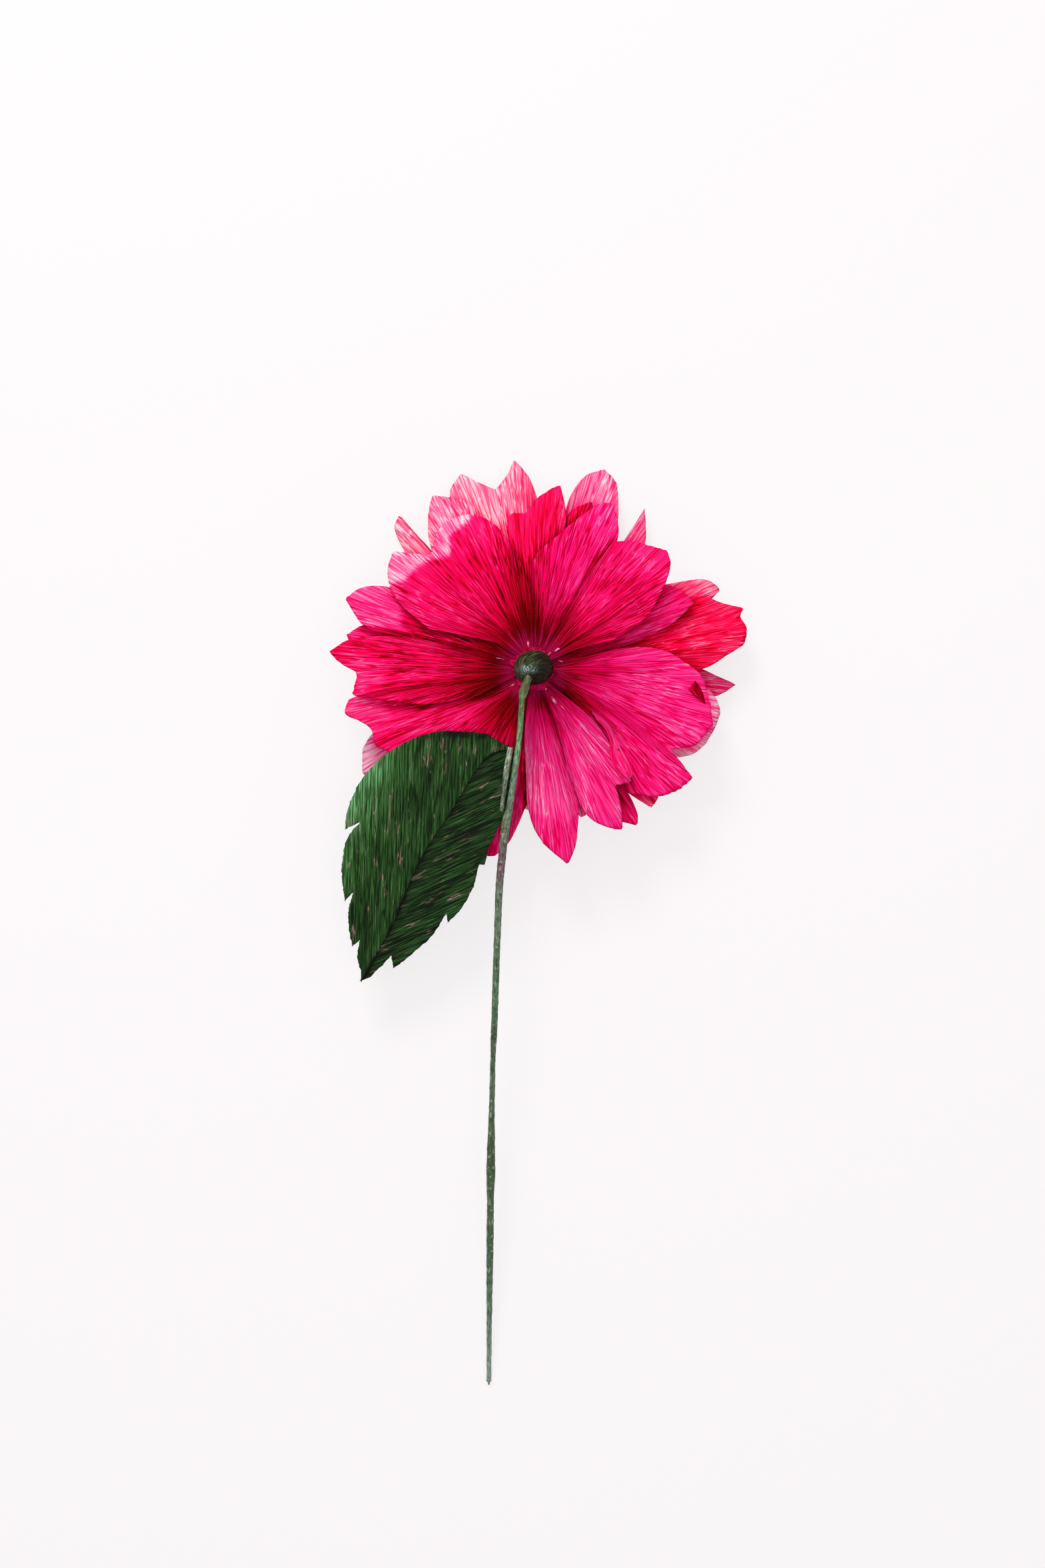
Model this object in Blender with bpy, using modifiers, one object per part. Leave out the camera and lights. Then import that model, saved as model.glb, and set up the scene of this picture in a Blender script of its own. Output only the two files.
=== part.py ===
"""Crepe-paper flower, lying face down on its front petals with its stem's cut end on the table.

The head opens downwards (-Z). Its back, with the green calyx ball, looks up (+Z), and the stem
runs away along -Y. Rows of paper petals are glued one above the other round a core; a petal's
outline is given as it is cut, by points of (bearing in degrees, reach from the core's axis in mm).
"""
import math

import bmesh
import bpy
import numpy as np

MM = 0.001

# Paper and the clearances that keep the pieces apart
PAPER = 0.35 * MM
SEAT_GAP = 0.3 * MM
GLUE_ROOM = 0.6 * MM
LAYER_STEP = PAPER + GLUE_ROOM

# Head: the core, the calyx ball over it, the bud under it
CORE_RADIUS = 6.2 * MM
CORE_LIP = 0.7 * MM
BALL_WIDTH = 16.2 * MM
BALL_HEIGHT = 14.3 * MM
BALL_DEPTH = 14.0 * MM
BUD_RADIUS = 10.0 * MM
BUD_DEPTH = 20.0 * MM

# How far the petals drop from the core to their tips
HEAD_DEPTH = 41.5 * MM
OPEN_REACH = 85.0 * MM
FIRST_DROP = 6.0 * MM
ROW_DROP = 6.4 * MM
SWEEP = 1.2
CREST_SHARE = 0.35
EDGE_SHARE = 0.25
OPEN_CREASES = (0.0, 0.15, 0.34, 0.56, 0.78, 1.0)

# Front petals, which nobody sees from the back: three rows, each with its own reach, and the height
# that the two inner rows keep above the outer one's tips
FRONT_REACH = 64.0 * MM
INNER_REACH = 48.0 * MM
HEART_REACH = 33.0 * MM
INNER_LIFT = 0.5 * MM
HEART_LIFT = 2.5 * MM
FRONT_ROWS = (
    ("front", 8, FRONT_REACH, HEAD_DEPTH, math.radians(11.3)),
    ("inner", 7, INNER_REACH, HEAD_DEPTH - INNER_LIFT, math.radians(34.1)),
    ("heart", 6, HEART_REACH, HEAD_DEPTH - HEART_LIFT, math.radians(7.7)),
)
FRONT_FILL = 0.92
FRONT_OUTLINE = (
    (-0.8, 0.35), (-1.0, 0.62), (-0.75, 0.88), (0.0, 1.0), (0.75, 0.88), (1.0, 0.62), (0.8, 0.35),
)
FRONT_CREASES = (0.0, 0.2, 0.45, 0.72, 1.0)

# Stem: a wire in a paper wrap, with its place across the table at points down its length
WIRE_DIAMETER = 0.9 * MM
BARE_TIP = 1.5 * MM
BORE_OVERRUN = 1.0 * MM
STEM_START_RISE = 10.4 * MM
STEM_NECK_MM = ((-0.6, -1.2, 9.6), (-1.8, -3.6, 12.4), (-3.3, -7.2, 13.2), (-4.5, -11.5, 12.2))
STEM_ROUTE_MM = (
    (-5.0, -17.0), (-5.8, -28.0), (-8.0, -44.0), (-9.8, -56.0), (-11.3, -63.0), (-13.0, -78.0),
    (-13.9, -89.0), (-14.7, -108.0), (-15.9, -142.0), (-16.5, -157.0), (-17.3, -190.0),
    (-17.9, -229.0), (-18.3, -264.0), (-18.6, -296.5),
)
WRAP_DIAMETERS_MM = (
    (0.0, 2.6), (8.0, 3.4), (14.0, 2.3), (40.0, 2.5), (56.0, 2.7), (60.0, 3.7), (72.0, 3.3),
    (89.0, 3.0), (115.0, 2.75), (150.0, 2.7), (156.0, 2.1), (176.0, 2.35), (190.0, 3.0),
    (206.0, 3.8), (218.0, 2.9), (232.0, 3.1), (255.0, 2.6), (275.0, 2.2), (296.5, 2.1),
)
STEM_STATIONS = 36

# Leaf: two halves glued along the midrib, cut by points of (along, across) from its base
LEAF_PAPER = 0.5 * MM
LEAF_BASE_MM = (-9.3, -32.0)
LEAF_HEADING = math.radians(237.3)
LEAF_RISE = 2.2 * MM
LEAF_FALL = 0.16
LEAF_ROOF = 0.08
LEAF_CUTS_MM = (8.0, 20.0, 34.0, 48.0, 62.0, 76.0, 92.0)
MIDRIB_MM = (
    (0.0, 0.0), (6.0, 5.5), (11.0, 6.7), (20.0, 7.0), (33.0, 6.6), (54.0, 6.8), (63.0, 6.0),
    (74.0, 4.0), (86.0, 2.0), (100.0, 1.0), (113.0, 0.0),
)
LEFT_EDGE_MM = (
    (0.0, 11.0), (4.0, 19.0), (9.0, 27.0), (16.0, 34.0), (24.0, 39.0), (33.0, 42.5), (42.0, 44.0),
    (51.0, 43.5), (60.0, 41.0), (63.5, 39.0), (58.0, 35.5), (66.0, 36.3), (72.0, 34.5),
    (79.0, 31.0), (85.0, 26.5), (88.5, 23.5), (83.0, 22.5), (89.0, 21.0), (95.0, 17.5),
    (102.5, 11.0), (98.5, 9.8), (104.0, 7.5), (109.0, 3.0),
)
RIGHT_EDGE_MM = (
    (109.0, -2.0), (97.0, -4.5), (101.0, -8.0), (92.0, -11.0), (81.0, -14.0), (70.0, -14.0),
    (73.0, -16.5), (66.0, -18.0), (56.0, -17.5), (46.0, -14.5), (45.0, -16.5), (38.0, -14.0),
    (29.0, -13.0), (19.0, -12.0), (9.0, -7.0), (1.0, -2.0),
)
STALK_ROUTE_MM = (
    (-9.3, -31.5, 4.1), (-10.2, -37.0, 3.4), (-11.2, -43.0, 3.0), (-12.0, -50.0, 2.7),
    (-12.9, -57.0, 2.5),
)
STALK_DIAMETERS_MM = ((31.5, 2.4), (42.0, 2.5), (48.0, 1.8), (57.0, 1.6))
STALK_STATIONS = 12

# Open petals row by row from the back (the first row is glued last): name and outline of
# (bearing in degrees, reach in mm)
PETAL_ROWS = (
    (
        ("petal_top_left_broad", (
            (91, 12), (92, 28), (96, 40), (103, 57), (110, 66), (117, 69), (124, 68), (132, 62),
            (140, 74), (146, 71), (152, 64), (159, 45), (154, 29), (145, 18))),
        ("petal_top_right", (
            (26, 15), (20, 34), (25, 50), (33, 63), (38, 70), (42, 72), (46, 69), (51, 66),
            (58, 61), (59, 52), (60, 40), (62, 22))),
        ("petal_bottom_right", (
            (293, 10), (293, 24), (289, 41), (289, 52), (290, 62), (294, 69), (299, 74), (303, 64),
            (305, 57), (311, 60), (314, 48), (319, 33), (320, 20), (317, 11))),
        ("petal_left", (
            (156, 12), (162, 28), (165, 45), (167, 59), (171, 76), (175, 83), (178, 78), (181, 71),
            (188, 74), (191, 63), (198, 45), (206, 24), (203, 12))),
    ),
    (
        ("petal_top", (
            (57, 45), (57, 62), (61, 70), (65, 75), (68, 73), (73, 65), (80, 55), (89, 46),
            (92, 36), (91, 17))),
        ("petal_right_broad", (
            (-36, 16), (-42, 29), (-48, 48), (-52, 63), (-46, 71), (-40, 76), (-34, 78), (-30, 64),
            (-25, 72), (-17, 76), (-11, 73), (-2, 68), (1, 64), (8, 54), (12, 44), (14, 34), (13, 22))),
        ("petal_bottom", (
            (259, 13), (262, 26), (266, 43), (268, 57), (272, 68), (280, 80), (283, 74), (287, 62),
            (290, 50), (295, 34), (300, 18))),
        ("petal_left_upper", (
            (140, 22), (146, 45), (150, 67), (154, 77), (159, 82), (162, 77), (165, 72), (167, 60),
            (168, 45), (169, 28))),
        ("petal_left_lower_broad", (
            (198, 14), (190, 44), (187, 66), (189, 76), (193, 79), (200, 70), (205, 71), (210, 67),
            (219, 63), (232, 62), (244, 61), (253, 57), (256, 40), (255, 16))),
    ),
    (
        ("petal_top_centre", (
            (76, 40), (77, 57), (79, 68), (82, 77), (86, 73), (89, 70), (93, 64), (98, 65),
            (101, 58), (100, 38), (97, 22))),
        ("petal_right_upper", (
            (12, 24), (16, 45), (19, 60), (23, 71), (28, 69), (33, 64), (37, 54), (40, 36))),
        ("petal_bottom_right_inner", (
            (303, 34), (301, 55), (300, 71), (304, 76), (306, 72), (308, 60), (312, 48), (315, 30))),
        ("petal_bottom_left_inner", (
            (246, 16), (252, 38), (255, 58), (255, 78), (258, 77), (262, 70), (265, 60), (269, 50),
            (272, 36), (273, 20))),
        ("petal_left_sliver", (
            (166, 28), (163, 55), (165, 72), (169, 78), (175, 72), (178, 52), (179, 27))),
    ),
    (
        ("petal_top_right_inner", (
            (59, 50), (67, 64), (71, 74), (77, 67), (79, 58), (79, 40))),
        ("petal_top_left_inner", (
            (107, 36), (106, 60), (111, 74), (116, 80), (120, 84), (123, 79), (127, 72), (131, 62),
            (134, 46))),
        ("petal_right_red", (
            (-3, 28), (-1, 52), (1, 70), (5, 80), (8, 88), (12, 90), (15, 88), (17, 91), (20, 83),
            (24, 76), (28, 58), (30, 34))),
        ("petal_lower_right_red", (
            (307, 45), (308, 63), (311, 74), (314, 73), (319, 69), (324, 52))),
    ),
    (
        ("pale_petal_top", (
            (85, 46), (87, 62), (91, 80), (95, 89), (98, 82), (102, 77), (106, 82), (110, 88),
            (114, 84), (117, 74), (118, 58), (119, 38))),
        ("pale_petal_right_upper", (
            (19, 44), (19, 68), (24, 85), (28, 82), (31, 73), (35, 60), (37, 50))),
        ("pale_petal_right_lower", (
            (-38, 34), (-35, 53), (-31, 68), (-26, 75), (-19, 78), (-12, 79), (-7, 75), (-3, 64),
            (-1, 48))),
        ("pale_petal_bottom", (
            (281, 31), (285, 54), (288, 63), (292, 61), (297, 50), (301, 36))),
        ("pale_petal_left_lower", (
            (196, 44), (199, 66), (204, 77), (210, 82), (216, 80), (223, 68), (228, 44))),
    ),
    (
        ("pale_petal_top_round", (
            (58, 50), (59, 66), (63, 78), (67, 88), (71, 91), (75, 86), (78, 76), (79, 62),
            (79, 50))),
        ("pale_spike_top_left", (
            (129, 44), (130, 66), (130, 87), (133, 85), (136, 76), (140, 62), (144, 50))),
        ("pale_spike_right", (
            (-12, 44), (-9, 62), (-7, 77), (-3, 85), (-1, 77), (2, 68), (6, 46))),
        ("pale_spike_top_right", (
            (49, 46), (49, 70), (52, 76), (56, 83), (55.5, 66), (55, 48))),
    ),
)

# Colour, roughness and metallic value of each piece's own material
CRIMSON = ((0.72, 0.0, 0.07), 0.75, 0.0)
PINK = ((0.85, 0.16, 0.25), 0.75, 0.0)
LEAF_GREEN = ((0.03, 0.10, 0.04), 0.7, 0.0)
TAPE_GREEN = ((0.12, 0.25, 0.13), 0.6, 0.0)
CALYX_GREEN = ((0.03, 0.06, 0.02), 0.35, 0.0)
STALK_GREEN = ((0.35, 0.45, 0.33), 0.6, 0.0)
CARD = ((0.75, 0.70, 0.62), 0.8, 0.0)
STEEL = ((0.55, 0.55, 0.55), 0.35, 1.0)

for old in list(bpy.data.objects):
    bpy.data.objects.remove(old, do_unlink=True)

flower = bpy.data.collections.new("paper_flower")
bpy.context.scene.collection.children.link(flower)
cutters = bpy.data.collections.new("cutters")
bpy.context.scene.collection.children.link(cutters)

frame = bpy.data.objects.new("flower_frame", None)
flower.objects.link(frame)


def finish(obj, name, look):
    """Name the object, hang it on the flower's frame and give it its own material."""
    colour, roughness, metallic = look
    material = bpy.data.materials.new(name)
    material.use_nodes = True
    shader = material.node_tree.nodes["Principled BSDF"]
    shader.inputs["Base Color"].default_value = (*colour, 1.0)
    shader.inputs["Roughness"].default_value = roughness
    shader.inputs["Metallic"].default_value = metallic
    obj.name = name
    obj.data.name = name
    obj.data.materials.clear()
    obj.data.materials.append(material)
    for holder in list(obj.users_collection):
        holder.objects.unlink(obj)
    flower.objects.link(obj)
    obj.parent = frame
    return obj


def as_cutter(obj, name):
    """Keep an object as a hidden cutting tool, on the same frame as what it cuts."""
    obj.name = name
    obj.display_type = "WIRE"
    obj.hide_render = True
    for holder in list(obj.users_collection):
        holder.objects.unlink(obj)
    cutters.objects.link(obj)
    obj.parent = frame
    return obj


def cut(target, cutter):
    """Take the cutter's volume away from the target."""
    hole = target.modifiers.new(cutter.name, "BOOLEAN")
    hole.operation = "DIFFERENCE"
    hole.solver = "EXACT"
    hole.object = cutter


def row_drop(row, radius):
    """How far row's surface lies below the core's top edge at a radius: a cone that steepens."""
    base = row * LAYER_STEP
    open_rows = len(PETAL_ROWS)
    if row < open_rows:
        reach = OPEN_REACH
        tip = FIRST_DROP + ROW_DROP * row
    else:
        front = FRONT_ROWS[min(row - open_rows, len(FRONT_ROWS) - 1)]
        reach = front[2]
        tip = front[3]
        if row - open_rows >= len(FRONT_ROWS):
            tip = tip + ROW_DROP
    root = CORE_RADIUS + SEAT_GAP
    share = np.clip((radius - root) / (reach - root), 0.0, None)
    return base + (tip - base) * share ** SWEEP


def sheet_height(row, radius, across, along):
    """Height of a petal over the table: its row's cone, with a raised crest and lower sides."""
    drop = row_drop(row, radius)
    above = drop - row_drop(row - 1, radius) - LAYER_STEP
    below = row_drop(row + 1, radius) - drop - LAYER_STEP
    side = (2.0 * across - 1.0) ** 2
    cup = CREST_SHARE * above * (1.0 - side) - EDGE_SHARE * below * side
    held = 1.0 - along ** 6
    return HEAD_DEPTH - drop + cup * held


def bent_side(plan, radius, side, fibre, bearings, reach):
    """The fan with one side turned, so that its edge follows outline points from the foot up."""
    if len(reach) < 2:
        return plan
    edge = np.unwrap(np.arctan2(plan[fibre, :, 1], plan[fibre, :, 0]))
    off = bearings - np.interp(reach, radius[fibre], edge)
    off = np.arctan2(np.sin(off), np.cos(off))
    root = CORE_RADIUS + SEAT_GAP
    turn = side[:, None] ** 2 * np.interp(radius, (root, *reach), (0.0, *off), right=0.0)
    x = plan[..., 0] * np.cos(turn) - plan[..., 1] * np.sin(turn)
    y = plan[..., 0] * np.sin(turn) + plan[..., 1] * np.cos(turn)
    return np.stack((x, y), axis=2)


def petal(name, row, outline, creases, look):
    """A fan of straight fibres from the core's rim to the cut outline, bent over its row's cone.

    The fan spans the outline's widest bearings; its two side edges bend in below them.
    """
    points = np.array(outline, dtype=float)
    root = CORE_RADIUS + SEAT_GAP
    bearings = np.radians(points[:, 0])
    reach = points[:, 1] * MM
    first = int(np.argmin(bearings))
    last = len(points) - 1 - int(np.argmax(bearings[::-1]))
    span = slice(first, last + 1)
    rim = (np.stack((np.cos(bearings), np.sin(bearings)), axis=1) * reach[:, None])[span]
    across = np.linspace(0.0, 1.0, len(points))[span]
    root_bearings = bearings[0] + (bearings[-1] - bearings[0]) * across
    base = np.stack((np.cos(root_bearings), np.sin(root_bearings)), axis=1) * root
    along = np.array(creases)
    plan = base[:, None, :] + (rim - base)[:, None, :] * along[None, :, None]
    radius = np.maximum(np.hypot(plan[..., 0], plan[..., 1]), root)
    side = np.linspace(0.0, 1.0, len(rim))
    plan = bent_side(plan, radius, 1.0 - side, 0, bearings[:first + 1], reach[:first + 1])
    plan = bent_side(plan, radius, side, -1, bearings[last:][::-1], reach[last:][::-1])
    height = sheet_height(row, radius, across[:, None], along[None, :])
    verts = np.concatenate((plan, height[..., None]), axis=2).reshape(-1, 3)
    steps = len(along)
    faces = []
    for i in range(len(rim) - 1):
        for j in range(steps - 1):
            a = i * steps + j
            b = a + steps
            faces.append((a, a + 1, b + 1))
            faces.append((a, b + 1, b))
    mesh = bpy.data.meshes.new(name)
    mesh.from_pydata(verts.tolist(), [], faces)
    mesh.shade_smooth()
    obj = bpy.data.objects.new(name, mesh)
    flower.objects.link(obj)
    thick = obj.modifiers.new("paper", "SOLIDIFY")
    thick.thickness = PAPER
    thick.offset = 1.0
    return finish(obj, name, look)


def front_outline(count, reach, number, first_bearing):
    """The same spoon-shaped petal, turned to its place in a ring of count petals."""
    half = FRONT_FILL * 180.0 / count
    centre = math.degrees(first_bearing) + 360.0 / count * number
    return [(centre + turn * half, share * reach / MM) for turn, share in FRONT_OUTLINE]


def smooth_route(points, stations):
    """Even stations along a Catmull-Rom curve through the route's points."""
    p = np.array(points, dtype=float)
    p = np.vstack((2.0 * p[0] - p[1], p, 2.0 * p[-1] - p[-2]))
    fine = []
    for k in range(1, len(p) - 2):
        t = np.linspace(0.0, 1.0, 24, endpoint=k == len(p) - 3)[:, None]
        fine.append(0.5 * (2.0 * p[k] + (p[k + 1] - p[k - 1]) * t
                           + (2.0 * p[k - 1] - 5.0 * p[k] + 4.0 * p[k + 1] - p[k + 2]) * t ** 2
                           + (3.0 * p[k] - p[k - 1] - 3.0 * p[k + 1] + p[k + 2]) * t ** 3))
    curve = np.vstack(fine)
    run = np.concatenate(([0.0], np.cumsum(np.linalg.norm(np.diff(curve, axis=0), axis=1))))
    even = np.linspace(0.0, run[-1], stations)
    return np.stack([np.interp(even, run, curve[:, axis]) for axis in range(3)], axis=1)


def tube(name, points, radii):
    """A round tube of changing radius along points, as a closed mesh object."""
    curve = bpy.data.curves.new(name, "CURVE")
    curve.dimensions = "3D"
    curve.bevel_depth = 1.0
    curve.bevel_resolution = 2
    curve.use_fill_caps = True
    spline = curve.splines.new("POLY")
    spline.points.add(len(points) - 1)
    for spot, place, radius in zip(spline.points, points, radii):
        spot.co = (*place, 1.0)
        spot.radius = radius
    drawn = bpy.data.objects.new(name + "_curve", curve)
    flower.objects.link(drawn)
    evaluated = drawn.evaluated_get(bpy.context.evaluated_depsgraph_get())
    mesh = bpy.data.meshes.new_from_object(evaluated)
    shape = bmesh.new()
    shape.from_mesh(mesh)
    bmesh.ops.remove_doubles(shape, verts=shape.verts, dist=0.001 * MM)
    bmesh.ops.recalc_face_normals(shape, faces=shape.faces)
    shape.to_mesh(mesh)
    shape.free()
    mesh.shade_smooth()
    obj = bpy.data.objects.new(name, mesh)
    obj.matrix_world = drawn.matrix_world
    flower.objects.link(obj)
    bpy.data.objects.remove(drawn, do_unlink=True)
    return obj


def turned(name, profile, sides, look):
    """A solid turned from its outer profile of (radius, height), top to bottom."""
    mesh = bpy.data.meshes.new(name)
    edges = [(k, k + 1) for k in range(len(profile) - 1)]
    mesh.from_pydata([(radius, 0.0, height) for radius, height in profile], edges, [])
    obj = bpy.data.objects.new(name, mesh)
    flower.objects.link(obj)
    spin = obj.modifiers.new("turn", "SCREW")
    spin.steps = sides
    spin.render_steps = sides
    spin.use_merge_vertices = True
    spin.merge_threshold = 0.01 * MM
    return finish(obj, name, look)


def stem_route():
    """The stem's centre line: up out of the ball, then straight down to the table."""
    end_radius = WRAP_DIAMETERS_MM[-1][1] * MM / 2.0
    start_y = STEM_ROUTE_MM[0][1] * MM
    end_y = STEM_ROUTE_MM[-1][1] * MM
    start_height = HEAD_DEPTH + STEM_START_RISE
    slope = math.atan2(start_height - end_radius, start_y - end_y)
    end_height = end_radius * math.cos(slope)
    neck = [(x * MM, y * MM, HEAD_DEPTH + z * MM) for x, y, z in STEM_NECK_MM]
    share = [(y * MM - start_y) / (end_y - start_y) for x, y in STEM_ROUTE_MM]
    run = [
        (x * MM, y * MM, start_height + (end_height - start_height) * s)
        for (x, y), s in zip(STEM_ROUTE_MM, share)
    ]
    return smooth_route(neck + run, STEM_STATIONS)


def lengthened(route, before, after):
    """The route with its first and last points moved straight outwards."""
    longer = route.copy()
    first = route[0] - route[1]
    last = route[-1] - route[-2]
    longer[0] += first / np.linalg.norm(first) * before
    longer[-1] += last / np.linalg.norm(last) * after
    return longer


def leaf_half(name, outline, look):
    """A flat sheet cut to the outline, creased along cross lines and hung from the midrib."""
    bearing = np.array((math.cos(LEAF_HEADING), math.sin(LEAF_HEADING)))
    sideways = np.array((bearing[1], -bearing[0]))
    shape = bmesh.new()
    corners = [shape.verts.new((along * MM, across * MM, 0.0)) for along, across in outline]
    sheet = shape.faces.new(corners)
    bmesh.ops.triangulate(shape, faces=[sheet])
    for line in LEAF_CUTS_MM:
        everything = shape.verts[:] + shape.edges[:] + shape.faces[:]
        bmesh.ops.bisect_plane(shape, geom=everything, plane_co=(line * MM, 0.0, 0.0),
                               plane_no=(1.0, 0.0, 0.0), dist=0.001 * MM)
    bmesh.ops.triangulate(shape, faces=shape.faces[:])
    rib = np.array(MIDRIB_MM) * MM
    for vert in shape.verts:
        along, across = vert.co.x, vert.co.y
        away = abs(across - np.interp(along, rib[:, 0], rib[:, 1]))
        plan = np.array(LEAF_BASE_MM) * MM + bearing * along + sideways * across
        height = HEAD_DEPTH + LEAF_RISE - LEAF_FALL * along - LEAF_ROOF * away
        vert.co = (plan[0], plan[1], height)
    bmesh.ops.recalc_face_normals(shape, faces=shape.faces)
    if sum(face.normal.z for face in shape.faces) < 0.0:
        bmesh.ops.reverse_faces(shape, faces=shape.faces[:])
    mesh = bpy.data.meshes.new(name)
    shape.to_mesh(mesh)
    shape.free()
    obj = bpy.data.objects.new(name, mesh)
    flower.objects.link(obj)
    thick = obj.modifiers.new("paper", "SOLIDIFY")
    thick.thickness = LEAF_PAPER
    thick.offset = 0.0
    return finish(obj, name, look)


# Core, bud and petals
layers = len(PETAL_ROWS) + len(FRONT_ROWS)
core_top = HEAD_DEPTH + CORE_LIP
core_bottom = HEAD_DEPTH - (layers - 1) * LAYER_STEP - 2.0 * GLUE_ROOM
turned("petal_core", (
    (0.0, core_top), (CORE_RADIUS, core_top), (CORE_RADIUS, core_bottom), (0.0, core_bottom),
), 32, CARD)

bud_top = core_bottom - SEAT_GAP
turned("bud_centre", (
    (0.0, bud_top), (0.55 * BUD_RADIUS, bud_top), (0.78 * BUD_RADIUS, bud_top - 0.12 * BUD_DEPTH),
    (BUD_RADIUS, bud_top - 0.38 * BUD_DEPTH), (0.9 * BUD_RADIUS, bud_top - 0.68 * BUD_DEPTH),
    (0.5 * BUD_RADIUS, bud_top - 0.93 * BUD_DEPTH), (0.0, bud_top - BUD_DEPTH),
), 20, CRIMSON)

for petal_row, sheets in enumerate(PETAL_ROWS):
    for petal_name, petal_outline in sheets:
        petal(petal_name, petal_row, petal_outline, OPEN_CREASES,
              PINK if petal_name.startswith("pale") else CRIMSON)

first_front = len(PETAL_ROWS)
for depth, (ring_name, ring_count, ring_reach, ring_drop, ring_bearing) in enumerate(FRONT_ROWS):
    for number in range(ring_count):
        petal(f"{ring_name}_petal_{number + 1:02d}", first_front + depth,
              front_outline(ring_count, ring_reach, number, ring_bearing), FRONT_CREASES, PINK)

# Calyx ball, with the socket that the stem is glued into
ball_height = core_top + SEAT_GAP + BALL_DEPTH / 2.0
bpy.ops.mesh.primitive_uv_sphere_add(segments=24, ring_count=14, radius=0.5,
                                     location=(0.0, 0.0, ball_height))
ball = bpy.context.object
ball.scale = (BALL_WIDTH, BALL_HEIGHT, BALL_DEPTH)
bpy.ops.object.transform_apply(location=False, rotation=False, scale=True)
ball.data.shade_smooth()
finish(ball, "calyx_ball", CALYX_GREEN)

# Stem: wire, and a paper wrap that the wire runs through
route = stem_route()
down = -route[:, 1] / MM
widths = np.array(WRAP_DIAMETERS_MM)
wrap_radii = np.interp(down, widths[:, 0], widths[:, 1]) * MM / 2.0
wire_route = lengthened(route, 0.0, BARE_TIP)
finish(tube("stem_wire", wire_route, np.full(len(wire_route), WIRE_DIAMETER / 2.0)),
       "stem_wire", STEEL)
wrap = finish(tube("stem_wrap", route, wrap_radii), "stem_wrap", TAPE_GREEN)
bore_route = lengthened(route, BORE_OVERRUN, BORE_OVERRUN)
bore_radius = WIRE_DIAMETER / 2.0 + SEAT_GAP
bore = tube("stem_bore", bore_route, np.full(len(bore_route), bore_radius))
cut(wrap, as_cutter(bore, "stem_bore"))
inside = int(np.argmax(np.linalg.norm(route - route[0], axis=1) > BALL_DEPTH))
socket_route = lengthened(route[:inside], SEAT_GAP, 0.0)
socket_radii = wrap_radii[:inside] + SEAT_GAP
cut(ball, as_cutter(tube("stem_socket", socket_route, socket_radii), "stem_socket"))

# Leaf halves and the stalk that carries them
midrib = list(MIDRIB_MM)
seam = SEAT_GAP / MM
leaf_half("leaf_left_half", midrib[::-1] + list(LEFT_EDGE_MM), LEAF_GREEN)
leaf_half("leaf_right_half",
          [(along, across - seam) for along, across in midrib] + list(RIGHT_EDGE_MM), LEAF_GREEN)
stalk_route = smooth_route(
    [(x * MM, y * MM, HEAD_DEPTH + z * MM) for x, y, z in STALK_ROUTE_MM], STALK_STATIONS)
stalk_widths = np.array(STALK_DIAMETERS_MM)
stalk_radii = np.interp(-stalk_route[:, 1] / MM, stalk_widths[:, 0], stalk_widths[:, 1]) * MM / 2.0
finish(tube("leaf_stalk", stalk_route, stalk_radii), "leaf_stalk", STALK_GREEN)

# The origin goes under the middle of the whole flower, on the table
bpy.context.view_layer.update()
depsgraph = bpy.context.evaluated_depsgraph_get()
low = np.full(3, np.inf)
high = np.full(3, -np.inf)
for obj in flower.objects:
    if obj.type == "MESH":
        shape = obj.evaluated_get(depsgraph)
        spots = np.empty(len(shape.data.vertices) * 3)
        shape.data.vertices.foreach_get("co", spots)
        spots = spots.reshape(-1, 3) + np.array(obj.matrix_world.translation)
        low = np.minimum(low, spots.min(axis=0))
        high = np.maximum(high, spots.max(axis=0))
frame.location = (-(low[0] + high[0]) / 2.0, -(low[1] + high[1]) / 2.0, -low[2])
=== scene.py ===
"""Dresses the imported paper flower: crepe petals, calyx ball, wrapped wire stem and a crepe leaf.

The flower lies face down and its back looks up at the camera. Petal outlines, rows and heights
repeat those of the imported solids; the fibres, pleats and cut edges are added here. Plan positions
are measured from the petal core's axis and heights from the level that the first row is glued on.
"""
import math

import bpy
import numpy as np
from mathutils.geometry import delaunay_2d_cdt
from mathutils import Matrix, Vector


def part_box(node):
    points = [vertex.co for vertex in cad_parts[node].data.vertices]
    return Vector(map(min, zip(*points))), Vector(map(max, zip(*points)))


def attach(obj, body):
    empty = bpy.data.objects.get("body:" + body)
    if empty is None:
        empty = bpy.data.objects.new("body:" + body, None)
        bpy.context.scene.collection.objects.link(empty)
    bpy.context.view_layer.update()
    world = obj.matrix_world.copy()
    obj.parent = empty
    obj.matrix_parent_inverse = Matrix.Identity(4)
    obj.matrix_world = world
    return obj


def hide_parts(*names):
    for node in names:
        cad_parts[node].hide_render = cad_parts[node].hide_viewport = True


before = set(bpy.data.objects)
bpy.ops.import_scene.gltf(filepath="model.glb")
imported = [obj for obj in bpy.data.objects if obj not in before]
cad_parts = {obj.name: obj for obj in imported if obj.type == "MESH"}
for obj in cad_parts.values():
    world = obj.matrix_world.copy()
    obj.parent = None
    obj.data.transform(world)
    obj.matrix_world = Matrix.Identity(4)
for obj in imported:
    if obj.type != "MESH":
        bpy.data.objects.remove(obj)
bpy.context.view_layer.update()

MM = 0.001
FULL_TURN = 2.0 * math.pi
core_low, core_high = np.array(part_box("petal_core"))
CORE_LIP = 0.7 * MM
AXIS = np.array((*(core_low + core_high)[:2] / 2.0, core_high[2] - CORE_LIP))

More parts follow.
